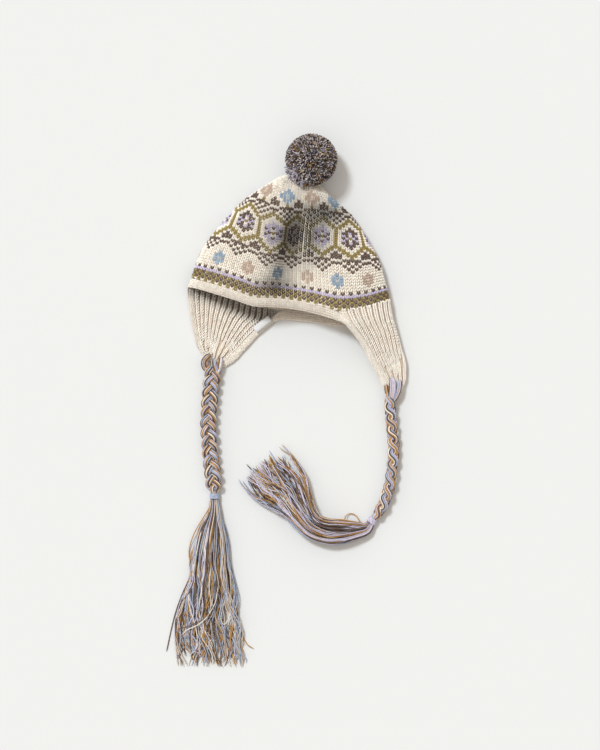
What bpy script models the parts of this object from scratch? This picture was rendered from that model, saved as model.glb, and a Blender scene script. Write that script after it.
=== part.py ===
"""Knitted ear-flap hat with a pompom, braided ties and tassels, lying flat on its back.

Metres. Seen from above, +X is to the right, +Y points from the brim to the pompom and +Z points up.
The origin is on the surface that the hat lies on, below the middle of the hat without its ties.
"""

import math

import bmesh
import bpy
import numpy as np
from mathutils import Vector

# Crown, lying flat with its front puffed up
FLAT_WIDTH = 0.222
CROWN_HEIGHT = 0.122
PUFF_HEIGHT = 0.050
FOLD_HEIGHT = 0.022
FOLD_REACH = 0.012
KNIT_WALL = 0.004

# Plain edging round the brim, and the ribbed ear flaps
EDGING_WIDTH = 0.012
EDGING_WALL = 0.005
EDGING_DROP = 0.006
EDGING_FLARE = 0.025
FLAP_LENGTH = 0.092
RIB_WALL = 0.0045
TIP_WALL = 0.0034
TIP_FOLD = 0.5

# Woven tag on the left flap
LABEL_LENGTH = 0.021
LABEL_WIDTH = 0.0085
LABEL_THICKNESS = 0.0008
LABEL_TURN = math.radians(38)
LABEL_DOWN = 0.32

# Pompom, placed from the crown's apex, which it overhangs by POMPOM_SEAT
POMPOM_RADIUS = 0.031
POMPOM_FLAT = 0.001
POMPOM_SEAT = 0.0072
POMPOM_TURN = math.radians(24.1)

# Ties and tassels
BRAID_DIAMETER = 0.015
TIE_DIAMETER = 0.011
TIE_LENGTH = 0.0066
TASSEL_GAP = 0.0009
LEFT_TASSEL_LENGTH = 0.182
LEFT_TASSEL_WIDTH = 0.079
RIGHT_TASSEL_WIDTH = 0.064
TASSEL_HEIGHT = 0.015

# Placing
BRIM_CENTRE = (-0.00715, -0.03135)
AXIS_TURN = math.radians(-6.28)
GAP = 0.0003
SEAM = 0.0018
BACK_SEAM = 0.0009
FLAP_SEAM = 0.0012

# Where the edging, the flaps and the nape part from each other, as turns round the brim from its
# left fold, over the front, to its right fold at half a turn, and back along the floor.
LEFT_FLAP_START = 0.985
LEFT_FLAP_END = 0.769
RIGHT_FLAP_START = 0.333
RIGHT_FLAP_END = 0.6415
EDGING_START = 0.012
TURN_GAP = 0.003

# Crown from brim to apex. row: share of the way over the front. rise and left, right: shares of
# CROWN_HEIGHT and of half FLAT_WIDTH. front, middle, under: heights as shares of PUFF_HEIGHT,
# FOLD_HEIGHT and PUFF_HEIGHT, of the front's top, the side fold and the underside.
CROWN_ROWS = (
    ("row", "rise", "left", "right", "front", "middle", "under"),
    (0.00, -0.060, 0.983, 0.987, 0.90, 0.50, 0.00),
    (0.17, 0.153, 0.925, 0.908, 0.97, 0.50, 0.00),
    (0.26, 0.262, 0.870, 0.863, 1.00, 0.50, 0.00),
    (0.46, 0.486, 0.715, 0.712, 0.97, 0.50, 0.00),
    (0.66, 0.720, 0.537, 0.530, 0.86, 0.50, 0.00),
    (0.75, 0.835, 0.405, 0.380, 0.74, 0.51, 0.00),
    (0.81, 0.905, 0.305, 0.275, 0.64, 0.54, 0.02),
    (0.88, 0.958, 0.235, 0.200, 0.52, 0.57, 0.08),
    (0.95, 0.988, 0.150, 0.135, 0.40, 0.60, 0.17),
    (1.00, 1.000, 0.000, 0.000, 0.27, 0.615, 0.27),
)
# Folds across the front, from the left fold at -1 to the right one at 1. lower_*: how far the knit
# sinks below its arch, as shares of PUFF_HEIGHT. lift_*: how far the rows curve towards the apex,
# as shares of CROWN_HEIGHT. back: the same for the row that lies on the floor, at the brim.
FOLDS = (
    ("across", "lower_brim", "lower_middle", "lower_top", "lift_brim", "lift_middle", "lift_top", "back"),
    (-1.00, 0.00, 0.00, 0.00, 0.100, 0.095, 0.050, 0.100),
    (-0.75, 0.00, 0.00, 0.00, 0.060, 0.085, 0.040, 0.030),
    (-0.50, -0.02, -0.04, 0.00, 0.015, 0.025, 0.005, -0.060),
    (-0.32, -0.02, -0.03, 0.02, -0.020, -0.015, 0.000, -0.095),
    (-0.22, 0.02, 0.01, 0.02, -0.010, -0.012, 0.000, -0.098),
    (-0.05, 0.15, 0.46, 0.11, -0.001, -0.008, 0.001, -0.100),
    (0.10, 0.24, 0.62, 0.16, -0.005, 0.000, 0.005, -0.100),
    (0.30, 0.15, 0.38, 0.09, -0.028, 0.012, 0.010, -0.100),
    (0.50, 0.00, 0.06, 0.01, -0.052, 0.012, 0.010, -0.110),
    (0.75, -0.03, -0.06, 0.00, -0.006, 0.018, 0.005, -0.040),
    (1.00, 0.00, 0.00, 0.00, 0.090, 0.055, 0.000, 0.090),
)
FOLD_ROWS = (0.0, 0.4, 0.75)

# Edges of the ear flaps from the brim to the tip. down: share of the flap's length. *_x and *_y:
# how far the edge has moved from its start at the brim, as shares of the flap's width at the brim
# and of FLAP_LENGTH.
LEFT_FLAP = (
    ("down", "outer_x", "outer_y", "inner_x", "inner_y"),
    (0.00, 0.000, 0.000, 0.000, 0.000),
    (0.13, -0.036, -0.148, -0.012, -0.143),
    (0.28, -0.018, -0.302, -0.130, -0.244),
    (0.45, -0.006, -0.481, -0.255, -0.369),
    (0.62, 0.020, -0.648, -0.367, -0.494),
    (0.80, 0.056, -0.814, -0.492, -0.625),
    (0.90, 0.115, -0.905, -0.569, -0.679),
    (1.00, 0.156, -0.994, -0.640, -0.706),
)
# The right flap folds under at its outer side. arch: how high its top stands above the fold.
RIGHT_FLAP = (
    ("down", "edge_x", "edge_y", "fold_x", "fold_y", "under_x", "under_y", "arch"),
    (0.00, 0.000, 0.000, 0.000, 0.000, 0.000, 0.000, 1.00),
    (0.12, 0.085, -0.135, 0.029, -0.119, 0.158, -0.119, 0.93),
    (0.22, 0.170, -0.208, 0.068, -0.226, 0.316, -0.226, 0.82),
    (0.35, 0.313, -0.310, 0.146, -0.393, 0.526, -0.393, 0.64),
    (0.50, 0.459, -0.440, 0.234, -0.595, 0.789, -0.571, 0.45),
    (0.70, 0.654, -0.667, 0.313, -0.786, 1.079, -0.762, 0.28),
    (0.85, 0.791, -0.821, 0.322, -0.940, 1.211, -0.881, 0.18),
    (1.00, 0.898, -0.958, 0.234, -1.083, 1.224, -0.994, 0.13),
)

# Middle lines of the ties, chosen by hand along the braids as they lie. Metres from the place where
# each tie starts, at the tip of its flap.
LEFT_ROUTE = (
    (-0.0014, 0.0002), (-0.0009, -0.0059), (-0.0027, -0.0209), (-0.0043, -0.0378), (-0.0055, -0.0546),
    (-0.0060, -0.0658), (-0.0049, -0.0770), (-0.0043, -0.0884), (-0.0032, -0.0994), (-0.0021, -0.1107),
    (-0.0004, -0.1220), (0.0004, -0.1332), (0.0007, -0.1395),
)
RIGHT_ROUTE = (
    (-0.0015, -0.0010), (-0.0032, -0.0145), (-0.0012, -0.0380), (0.0006, -0.0560), (0.0006, -0.0728),
    (-0.0007, -0.0842), (-0.0023, -0.0985), (-0.0056, -0.1121), (-0.0101, -0.1245), (-0.0161, -0.1348),
    (-0.0211, -0.1414),
)
RIGHT_TASSEL_ROUTE = (
    (-0.0260, -0.1479), (-0.0293, -0.1517), (-0.0403, -0.1537), (-0.0568, -0.1550), (-0.0722, -0.1546),
    (-0.0865, -0.1491), (-0.0981, -0.1392), (-0.1097, -0.1238), (-0.1229, -0.1062), (-0.1372, -0.0897),
    (-0.1493, -0.0743), (-0.1548, -0.0677),
)
# Outer forms of the tassels. Shares of their length, widest width and TASSEL_HEIGHT.
LEFT_TASSEL = (
    ("along", "aside", "width", "height"),
    (0.000, 0.000, 0.125, 0.67),
    (0.057, 0.000, 0.290, 0.87),
    (0.178, -0.042, 0.430, 1.00),
    (0.360, -0.056, 0.540, 1.00),
    (0.540, -0.084, 0.650, 0.93),
    (0.720, -0.139, 0.930, 0.80),
    (0.843, -0.090, 1.000, 0.67),
    (0.934, -0.049, 0.810, 0.53),
    (1.000, -0.063, 0.330, 0.33),
)
RIGHT_TASSEL = (
    ("width", "height"),
    (0.14, 0.67), (0.24, 0.80), (0.36, 0.95), (0.40, 1.00), (0.38, 1.00), (0.40, 0.95),
    (0.45, 0.90), (0.59, 0.80), (0.79, 0.70), (1.00, 0.55), (0.80, 0.40), (0.50, 0.30),
)

CROWN_COLUMNS = 48
CROWN_LEVELS = (
    0.0, 0.04, 0.10, 0.18, 0.26, 0.34, 0.42, 0.50, 0.58, 0.66, 0.73, 0.79, 0.84, 0.885, 0.925, 0.962,
)
FLAP_COLUMNS = 20
FLAP_LEVELS = (0.0, 0.06, 0.12, 0.20, 0.28, 0.38, 0.50, 0.62, 0.74, 0.86, 1.0)
RING_SIDES = 16
TIP_STEPS = 200
EDGING_LEVELS = (0.0, 0.34, 0.67, 1.0)
FRONT_EDGING_COLUMNS = 20
BACK_EDGING_COLUMNS = 10
POMPOM_LEVEL = 4
BRAID_ROUNDING = 3
CURVE_STEPS = 20
MERGE = 1e-7

# How strongly the underside turns up at the side folds, the share of a soft run's height that its
# round section takes, and how a tie swells along its length.
FOLD_POWER = 4
RUN_SHARE = 0.55
TIE_SWELL = ((0.0, 0.85), (0.25, 1.0), (0.75, 1.0), (1.0, 0.85))

# Plain colours that tell the pieces apart
CREAM = (0.64, 0.57, 0.49)
PALE_CREAM = (0.68, 0.61, 0.52)
LABEL_WHITE = (0.85, 0.86, 0.87)
DARK_MIX = (0.16, 0.12, 0.11)
YARN_MIX = (0.33, 0.30, 0.32)
TIE_BLUE = (0.42, 0.45, 0.52)
WOOL_ROUGHNESS = 0.95
SHARP_FROM = math.radians(40)


def column(table, name):
    """One named column of a table whose first row holds the names."""
    place = table[0].index(name)
    return [row[place] for row in table[1:]]


def smooth(knots, values, at):
    """Value at a point of a smooth curve through the knots, which never overshoots them."""
    at = min(max(at, knots[0]), knots[-1])
    i = max(1, min(len(knots) - 1, sum(1 for k in knots if k < at)))
    slopes = [(values[j + 1] - values[j]) / (knots[j + 1] - knots[j]) for j in range(len(knots) - 1)]

    def tangent(j):
        if j == 0 or j == len(knots) - 1:
            return slopes[0 if j == 0 else -1]
        before, after = slopes[j - 1], slopes[j]
        return 0.0 if before * after <= 0 else 2 * before * after / (before + after)

    width = knots[i] - knots[i - 1]
    t = (at - knots[i - 1]) / width
    return (
        values[i - 1] * (1 + 2 * t) * (1 - t) ** 2
        + tangent(i - 1) * width * t * (1 - t) ** 2
        + values[i] * t * t * (3 - 2 * t)
        - tangent(i) * width * t * t * (1 - t)
    )


def read(table, key, name, at):
    return smooth(column(table, key), column(table, name), at)


def fold_value(kind, across, row):
    """A fold's lower_ or lift_ share at a place across the front and a row."""
    shares = [read(FOLDS, "across", f"{kind}_{part}", across) for part in ("brim", "middle", "top")]
    return smooth(FOLD_ROWS, shares, row)


def place(aside, ahead, height):
    """A point of the hat's own frame, whose +Y runs along its axis, in the part's frame."""
    return Vector((
        BRIM_CENTRE[0] + aside * math.cos(AXIS_TURN) - ahead * math.sin(AXIS_TURN),
        BRIM_CENTRE[1] + aside * math.sin(AXIS_TURN) + ahead * math.cos(AXIS_TURN),
        height,
    ))


def crown_point(turn, row):
    """Outer surface of the crown: turn goes round from the left fold, row from the brim to the apex."""
    across, front = -math.cos(math.tau * turn), math.sin(math.tau * turn)
    half = FLAT_WIDTH / 2 * read(CROWN_ROWS, "row", "left" if across < 0 else "right", row)
    middle = FOLD_HEIGHT * read(CROWN_ROWS, "row", "middle", row)
    if front >= 0:
        sunk = 1 - fold_value("lower", across, row)
        top = PUFF_HEIGHT * read(CROWN_ROWS, "row", "front", row) * sunk
        height = middle + (top - middle) * front
        lift = fold_value("lift", across, row)
    else:
        under = PUFF_HEIGHT * read(CROWN_ROWS, "row", "under", row)
        reach = min(FOLD_REACH, half)
        into = max(0.0, abs(across) * half - (half - reach)) / max(reach, 1e-9)
        height = under + (middle - under) * (1 - math.sqrt(max(0.0, 1 - into * into)))
        fold = math.copysign(1.0, across)
        on_floor = read(FOLDS, "across", "back", across) * (1 - row)
        at_fold = read(FOLDS, "across", "back", fold) * (1 - row)
        lift = on_floor + (fold_value("lift", fold, row) - at_fold) * abs(across) ** FOLD_POWER
    rise = read(CROWN_ROWS, "row", "rise", row)
    return place(across * half, CROWN_HEIGHT * (rise + lift), height)


def material(name, colour, roughness):
    made = bpy.data.materials.new(name)
    made.use_nodes = True
    shader = made.node_tree.nodes["Principled BSDF"]
    shader.inputs["Base Color"].default_value = (*colour, 1.0)
    shader.inputs["Roughness"].default_value = roughness
    shader.inputs["Metallic"].default_value = 0.0
    return made


def keep(mesh, name, colour, roughness=WOOL_ROUGHNESS):
    """Writes a bmesh into a named object with its own material, its origin at the part's."""
    bmesh.ops.triangulate(mesh, faces=mesh.faces[:])
    data = bpy.data.meshes.new(name)
    mesh.to_mesh(data)
    mesh.free()
    data.materials.append(material(name, colour, roughness))
    data.shade_smooth()
    data.set_sharp_from_angle(angle=SHARP_FROM)
    made = bpy.data.objects.new(name, data)
    bpy.context.scene.collection.objects.link(made)
    return made


def normals(grid, closed):
    """Unit normals of a grid: they face out where the rows go up the hat and the columns with the
    turns, and also where both go the other way."""
    points = np.array([[tuple(p) for p in row] for row in grid])
    along = np.gradient(points, axis=0)
    if closed:
        across = np.roll(points, -1, axis=1) - np.roll(points, 1, axis=1)
    else:
        across = np.gradient(points, axis=1)
    facing = np.cross(across, along)
    return facing / np.linalg.norm(facing, axis=2, keepdims=True)


def knit_sheet(name, grid, wall, colour, closed=False, pole=None):
    """A knitted wall: the grid is its outer side, and the inner one lies a wall's thickness inside."""
    facing = normals(grid, closed)
    mesh = bmesh.new()
    outer = [[mesh.verts.new(p) for p in row] for row in grid]
    inner = []
    for i, row in enumerate(grid):
        thick = wall(i / (len(grid) - 1)) if callable(wall) else wall
        inner.append([mesh.verts.new(p - Vector(n) * thick) for p, n in zip(row, facing[i])])
    count = len(grid[0])
    spans = range(count if closed else count - 1)
    for i in range(len(grid) - 1):
        for j in spans:
            k = (j + 1) % count
            mesh.faces.new((outer[i][j], outer[i + 1][j], outer[i + 1][k], outer[i][k]))
            mesh.faces.new((inner[i][j], inner[i][k], inner[i + 1][k], inner[i + 1][j]))
    for j in spans:
        k = (j + 1) % count
        mesh.faces.new((outer[0][j], outer[0][k], inner[0][k], inner[0][j]))
        if pole is None:
            mesh.faces.new((outer[-1][j], inner[-1][j], inner[-1][k], outer[-1][k]))
    if pole is not None:
        tip, direction = pole
        end = mesh.verts.new(tip)
        inner_end = mesh.verts.new(tip - direction * wall)
        for j in spans:
            k = (j + 1) % count
            mesh.faces.new((outer[-1][j], end, outer[-1][k]))
            mesh.faces.new((inner[-1][j], inner[-1][k], inner_end))
    if not closed:
        for i in range(len(grid) - 1):
            mesh.faces.new((outer[i][0], inner[i][0], inner[i + 1][0], outer[i + 1][0]))
            mesh.faces.new((outer[i][-1], outer[i + 1][-1], inner[i + 1][-1], inner[i][-1]))
    bmesh.ops.recalc_face_normals(mesh, faces=mesh.faces[:])
    return keep(mesh, name, colour)


def build_crown():
    grid = [[crown_point(j / CROWN_COLUMNS, row) for j in range(CROWN_COLUMNS)] for row in CROWN_LEVELS]
    axis = place(0, 1, 0) - place(0, 0, 0)
    apex = (crown_point(0, 1.0), axis)
    return knit_sheet("crown", grid, KNIT_WALL, CREAM, closed=True, pole=apex)


def edging_point(turn, down, seam=SEAM):
    """The plain band below the crown's first row; down goes from 0 at the crown to 1 at its edge."""
    front = math.sin(math.tau * turn)
    start = crown_point(turn % 1, 0.0)
    axis = place(0, 1, 0) - place(0, 0, 0)
    aside = place(1, 0, 0) - place(0, 0, 0)
    flare = EDGING_FLARE * down * FLAT_WIDTH / 2 * -math.cos(math.tau * turn) * max(0.0, front)
    sink = EDGING_DROP * down * down * max(0.0, front)
    return start - axis * (seam + EDGING_WIDTH * down) + aside * flare - Vector((0, 0, sink))


def build_edging(name, first, last, count, seam):
    turns = [last + (first - last) * j / (count - 1) for j in range(count)]
    grid = [[edging_point(turn, down, seam) for turn in turns] for down in EDGING_LEVELS]
    return knit_sheet(name, grid, EDGING_WALL, PALE_CREAM)


def attach(turn):
    """Where a flap's first row meets the crown's, less the gap."""
    return edging_point(turn, 0.0, FLAP_SEAM)


def left_edges(down):
    """Points of the left flap's outer and inner edges, a share of the way down it."""
    first, last = attach(LEFT_FLAP_START), attach(LEFT_FLAP_END)
    width = last.x - first.x
    return [
        start + Vector((
            width * read(LEFT_FLAP, "down", f"{side}_x", down),
            FLAP_LENGTH * read(LEFT_FLAP, "down", f"{side}_y", down),
            0,
        ))
        for side, start in (("outer", first), ("inner", last))
    ]


def build_left_flap():
    first, last = attach(LEFT_FLAP_START), attach(LEFT_FLAP_END)
    grid = []
    for down in FLAP_LEVELS:
        outer, inner = left_edges(down)
        row = []
        for j in range(FLAP_COLUMNS):
            share = j / (FLAP_COLUMNS - 1)
            on_brim = attach(LEFT_FLAP_START + (LEFT_FLAP_END - LEFT_FLAP_START) * share)
            straight = first.lerp(last, share)
            point = outer.lerp(inner, share) + (on_brim - straight) * (1 - down) ** 2
            point.z = on_brim.z * (1 - down) ** 2
            row.append(point)
        grid.append(row)
    return knit_sheet("ear_flap_left", grid, RIB_WALL, CREAM)


def right_edges(down):
    """Points of the right flap's inner edge, its fold and its lower edge, a share of the way down it."""
    first, fold, last = attach(RIGHT_FLAP_START), attach(0.5), attach(RIGHT_FLAP_END)
    top_width, under_width = fold.x - first.x, fold.x - last.x
    return [
        start + Vector((
            width * read(RIGHT_FLAP, "down", f"{side}_x", down),
            FLAP_LENGTH * read(RIGHT_FLAP, "down", f"{side}_y", down),
            0,
        ))
        for side, start, width in (
            ("edge", first, top_width), ("fold", fold, top_width), ("under", last, under_width)
        )
    ]


def tip_anchor(edges):
    """Where a tie starts from: the middle of a flap's tip, at the tip's lowest place over the tie."""
    middle = (edges[0].x + edges[1].x) / 2
    lowest = edges[0].y
    for a, b in zip(edges, edges[1:]):
        for step in range(TIP_STEPS + 1):
            point = a.lerp(b, step / TIP_STEPS)
            if abs(point.x - middle) <= BRAID_DIAMETER / 2:
                lowest = min(lowest, point.y)
    return Vector((middle, lowest))


def from_tip(edges, route):
    """A route that is given from a flap's tip, as points of the part's frame."""
    anchor = tip_anchor(edges)
    return [anchor + Vector(offset) for offset in route]


def build_right_flap():
    turns = [
        RIGHT_FLAP_END + (RIGHT_FLAP_START - RIGHT_FLAP_END) * j / (FLAP_COLUMNS - 1)
        for j in range(FLAP_COLUMNS)
    ]
    first, fold, last = attach(RIGHT_FLAP_START), attach(0.5), attach(RIGHT_FLAP_END)
    top_width, under_width = fold.x - first.x, fold.x - last.x
    grid = []
    for down in FLAP_LEVELS:
        edge, outside, under = right_edges(down)
        middle = 1 - TIP_FOLD * down
        arch = read(RIGHT_FLAP, "down", "arch", down)
        row = []
        for turn in turns:
            on_brim = attach(turn)
            if turn <= 0.5:
                share = (on_brim.x - first.x) / top_width
                point = edge.lerp(outside, share)
                straight = first.lerp(fold, share)
                height = fold.z * middle + (on_brim.z - fold.z) * arch
            else:
                share = (fold.x - on_brim.x) / under_width
                point = outside.lerp(under, share)
                straight = fold.lerp(last, share)
                height = on_brim.z * middle
            point += (on_brim - straight) * (1 - down) ** 2
            point.z = max(0.0, height)
            row.append(point)
        grid.append(row)
    return knit_sheet(
        "ear_flap_right", grid, lambda down: RIB_WALL + (TIP_WALL - RIB_WALL) * down, CREAM
    )


def build_label():
    """Lies on the left flap's inner edge, a third of the way down it."""
    edge = left_edges(LABEL_DOWN)[1]
    inwards = Vector((-math.sin(LABEL_TURN), math.cos(LABEL_TURN), 0))
    along = Vector((math.cos(LABEL_TURN), math.sin(LABEL_TURN), 0))
    centre = edge + inwards * LABEL_WIDTH / 2
    mesh = bmesh.new()
    bmesh.ops.create_cube(mesh, size=1.0)
    for vert in mesh.verts:
        x, y, z = vert.co
        vert.co = centre + along * LABEL_LENGTH * x + inwards * LABEL_WIDTH * y
        vert.co.z = RIB_WALL + GAP + LABEL_THICKNESS * (z + 0.5)
    return keep(mesh, "side_label", LABEL_WHITE, roughness=0.7)


def build_pompom(crown):
    apex = crown_point(0, 1.0)
    out = POMPOM_RADIUS - POMPOM_SEAT
    centre = apex + place(out * math.sin(POMPOM_TURN), out * math.cos(POMPOM_TURN), 0) - place(0, 0, 0)
    centre.z = POMPOM_RADIUS - POMPOM_FLAT
    seat = (centre - apex).normalized()
    reach = max(seat.dot(vert.co) for vert in crown.data.vertices) + GAP
    mesh = bmesh.new()
    bmesh.ops.create_icosphere(mesh, subdivisions=POMPOM_LEVEL, radius=POMPOM_RADIUS)
    bmesh.ops.translate(mesh, vec=centre, verts=mesh.verts)
    for point, facing in ((seat * reach, seat), (Vector((0, 0, 0)), Vector((0, 0, 1)))):
        cut = bmesh.ops.bisect_plane(
            mesh, geom=mesh.verts[:] + mesh.edges[:] + mesh.faces[:], dist=MERGE,
            plane_co=point, plane_no=facing, clear_inner=True,
        )
        rim = [item for item in cut["geom_cut"] if isinstance(item, bmesh.types.BMEdge)]
        bmesh.ops.contextual_create(mesh, geom=rim)
    bmesh.ops.recalc_face_normals(mesh, faces=mesh.faces[:])
    return keep(mesh, "pompom", DARK_MIX)


def spline_points(route, spacing):
    """Points about a spacing apart on a smooth curve through a route's own points."""
    points = [Vector(p).to_3d() for p in route]
    ends = [2 * points[0] - points[1], *points, 2 * points[-1] - points[-2]]
    fine = []
    for a, b, c, d in zip(ends, ends[1:], ends[2:], ends[3:]):
        for step in range(CURVE_STEPS):
            t = step / CURVE_STEPS
            bent = (2 * a - 5 * b + 4 * c - d) * t**2 + (3 * b - a - 3 * c + d) * t**3
            fine.append(0.5 * (2 * b + (c - a) * t + bent))
    fine.append(points[-1])
    lengths = [0.0]
    for before, after in zip(fine, fine[1:]):
        lengths.append(lengths[-1] + (after - before).length)
    count = max(2, round(lengths[-1] / spacing) + 1)
    picked = []
    for i in range(count):
        at = lengths[-1] * i / (count - 1)
        j = min(len(fine) - 2, max(0, sum(1 for x in lengths if x <= at) - 1))
        share = (at - lengths[j]) / (lengths[j + 1] - lengths[j])
        picked.append(fine[j].lerp(fine[j + 1], min(1.0, share)))
    return picked


def build_braid(name, route):
    points = spline_points(route, 2 * BRAID_DIAMETER / 3)
    curve = bpy.data.curves.new(name, "CURVE")
    curve.dimensions = "3D"
    curve.bevel_depth = BRAID_DIAMETER / 2
    curve.bevel_resolution = BRAID_ROUNDING
    curve.use_fill_caps = True
    curve.materials.append(material(name, YARN_MIX, WOOL_ROUGHNESS))
    spline = curve.splines.new("POLY")
    spline.points.add(len(points) - 1)
    for point, at in zip(spline.points, points):
        point.co = (at.x, at.y, BRAID_DIAMETER / 2, 1.0)
    made = bpy.data.objects.new(name, curve)
    bpy.context.scene.collection.objects.link(made)
    return made


def soft_run(name, stations, colour):
    """A soft form that lies on the surface, from (centre, half width, height) stations along it."""
    mesh = bmesh.new()
    centres = [Vector(station[0]).to_3d() for station in stations]
    rings = []
    for i, (_, half, height) in enumerate(stations):
        forward = (centres[min(i + 1, len(centres) - 1)] - centres[max(i - 1, 0)]).normalized()
        aside = Vector((forward.y, -forward.x, 0))
        ring = []
        for k in range(RING_SIDES):
            angle = math.tau * k / RING_SIDES
            point = centres[i] + aside * half * math.cos(angle)
            point.z = max(0.0, height * (1 - RUN_SHARE + RUN_SHARE * math.sin(angle)))
            ring.append(mesh.verts.new(point))
        rings.append(ring)
    for before, after in zip(rings, rings[1:]):
        for k in range(RING_SIDES):
            n = (k + 1) % RING_SIDES
            mesh.faces.new((before[k], before[n], after[n], after[k]))
    mesh.faces.new(rings[0])
    mesh.faces.new(rings[-1])
    bmesh.ops.recalc_face_normals(mesh, faces=mesh.faces[:])
    return keep(mesh, name, colour)


def build_tie(name, route):
    """Yarn wound round the end of a braid, swelling a little in the middle."""
    end = Vector(route[-1]).to_3d()
    forward = (end - Vector(route[-2]).to_3d()).normalized()
    stations = []
    for share, swell in TIE_SWELL:
        centre = end + forward * (GAP + TIE_LENGTH * share)
        stations.append((centre, TIE_DIAMETER / 2 * swell, TIE_DIAMETER * swell))
    return soft_run(name, stations, TIE_BLUE)


def build_left_tassel(route):
    """Hangs straight down the picture from the end of the left tie."""
    start = route[-1].to_3d() - Vector((0, TIE_LENGTH + TASSEL_GAP, 0))
    stations = []
    for along, aside, width, height in LEFT_TASSEL[1:]:
        centre = start + Vector((aside * LEFT_TASSEL_WIDTH, -along * LEFT_TASSEL_LENGTH, 0))
        stations.append((centre, width * LEFT_TASSEL_WIDTH / 2, height * TASSEL_HEIGHT))
    return soft_run("tassel_left", stations, YARN_MIX)


def build_right_tassel(route):
    """Sweeps back along its own route."""
    stations = [
        (centre, width * RIGHT_TASSEL_WIDTH / 2, height * TASSEL_HEIGHT)
        for centre, (width, height) in zip(route, RIGHT_TASSEL[1:])
    ]
    return soft_run("tassel_right", stations, YARN_MIX)


for old in list(bpy.data.objects):
    bpy.data.objects.remove(old, do_unlink=True)

build_pompom(build_crown())
build_edging("front_edging", EDGING_START, RIGHT_FLAP_START - TURN_GAP, FRONT_EDGING_COLUMNS, SEAM)
build_edging(
    "back_edging", RIGHT_FLAP_END + TURN_GAP, LEFT_FLAP_END - TURN_GAP, BACK_EDGING_COLUMNS, BACK_SEAM
)
build_left_flap()
build_right_flap()
build_label()
left_route = from_tip(left_edges(1.0), LEFT_ROUTE)
right_route = from_tip(right_edges(1.0)[:2], RIGHT_ROUTE)
for side, route in (("left", left_route), ("right", right_route)):
    build_braid(f"braid_{side}", route)
    build_tie(f"braid_tie_{side}", route)
build_left_tassel(left_route)
build_right_tassel(from_tip(right_edges(1.0)[:2], RIGHT_TASSEL_ROUTE))
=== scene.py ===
"""Looks of the knitted ear-flap hat, built in the frame of its CAD model."""

import math

import bmesh
import bpy
import numpy as np
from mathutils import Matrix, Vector
from mathutils.bvhtree import BVHTree


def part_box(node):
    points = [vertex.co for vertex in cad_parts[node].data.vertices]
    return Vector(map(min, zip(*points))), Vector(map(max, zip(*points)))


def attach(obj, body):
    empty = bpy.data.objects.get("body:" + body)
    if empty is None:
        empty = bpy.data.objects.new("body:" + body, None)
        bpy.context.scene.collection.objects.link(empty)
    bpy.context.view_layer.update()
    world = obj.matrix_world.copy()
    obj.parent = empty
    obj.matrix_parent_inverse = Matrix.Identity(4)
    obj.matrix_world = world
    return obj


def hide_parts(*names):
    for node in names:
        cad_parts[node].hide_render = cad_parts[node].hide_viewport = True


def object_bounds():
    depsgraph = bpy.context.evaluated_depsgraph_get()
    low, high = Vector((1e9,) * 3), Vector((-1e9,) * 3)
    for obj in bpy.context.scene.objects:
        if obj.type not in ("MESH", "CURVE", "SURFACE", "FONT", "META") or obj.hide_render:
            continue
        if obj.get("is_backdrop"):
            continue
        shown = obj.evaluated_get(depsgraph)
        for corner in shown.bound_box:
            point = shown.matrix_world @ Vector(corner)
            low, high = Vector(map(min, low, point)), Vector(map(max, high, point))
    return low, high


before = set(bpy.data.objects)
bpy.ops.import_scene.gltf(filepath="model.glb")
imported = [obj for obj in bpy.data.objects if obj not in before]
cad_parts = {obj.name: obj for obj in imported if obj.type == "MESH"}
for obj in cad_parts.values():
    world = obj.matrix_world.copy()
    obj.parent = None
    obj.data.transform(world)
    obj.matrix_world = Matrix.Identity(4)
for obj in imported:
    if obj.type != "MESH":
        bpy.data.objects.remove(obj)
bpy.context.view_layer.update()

# The hat lies on a pale table under one big soft light from the upper left, seen from straight above
# through a long lens.
scene = bpy.context.scene
scene.view_settings.view_transform = "Standard"

table_mesh = bpy.data.meshes.new("table_top")
reach, below = 4.0, -0.0001
table_mesh.from_pydata(
    [(-reach, -reach, below), (reach, -reach, below), (reach, reach, below), (-reach, reach, below)], [], [(0, 1, 2, 3)]
)
table_top = bpy.data.objects.new("table_top", table_mesh)
scene.collection.objects.link(table_top)
table_paint = bpy.data.materials.new("table_paint")
table_paint.use_nodes = True
table_paint.node_tree.nodes["Principled BSDF"].inputs["Base Color"].default_value = (0.729, 0.732, 0.729, 1.0)
table_paint.node_tree.nodes["Principled BSDF"].inputs["Roughness"].default_value = 0.9
table_mesh.materials.append(table_paint)
table_top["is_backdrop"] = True

scene.world = bpy.data.worlds.new("studio")
scene.world.use_nodes = True
room, room_links = scene.world.node_tree.nodes, scene.world.node_tree.links
room["Background"].inputs["Color"].default_value = (1.0, 0.935, 0.86, 1.0)
WINDOW_WAY = Vector((-0.35, 0.437, 0.829))
seen_way = room.new("ShaderNodeTexCoord")
towards_window = room.new("ShaderNodeVectorMath")
towards_window.operation = "DOT_PRODUCT"
towards_window.inputs[1].default_value = WINDOW_WAY
room_light = room.new("ShaderNodeMapRange")
room_light.inputs["From Min"].default_value = -1.0
room_light.inputs["From Max"].default_value = 1.0
room_light.inputs["To Min"].default_value = 0.05
room_light.inputs["To Max"].default_value = 0.92
room_links.new(seen_way.outputs["Generated"], towards_window.inputs[0])
room_links.new(towards_window.outputs["Value"], room_light.inputs["Value"])
room_links.new(room_light.outputs["Result"], room["Background"].inputs["Strength"])

soft_box = bpy.data.lights.new("soft_box", "SUN")
soft_box.energy = 2.126
soft_box.angle = math.radians(11)
soft_box.color = (0.8735, 0.949, 1.0)
soft_box_stand = bpy.data.objects.new("soft_box", soft_box)
soft_box_stand.rotation_euler = WINDOW_WAY.to_track_quat("Z", "Y").to_euler()
scene.collection.objects.link(soft_box_stand)

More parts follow.
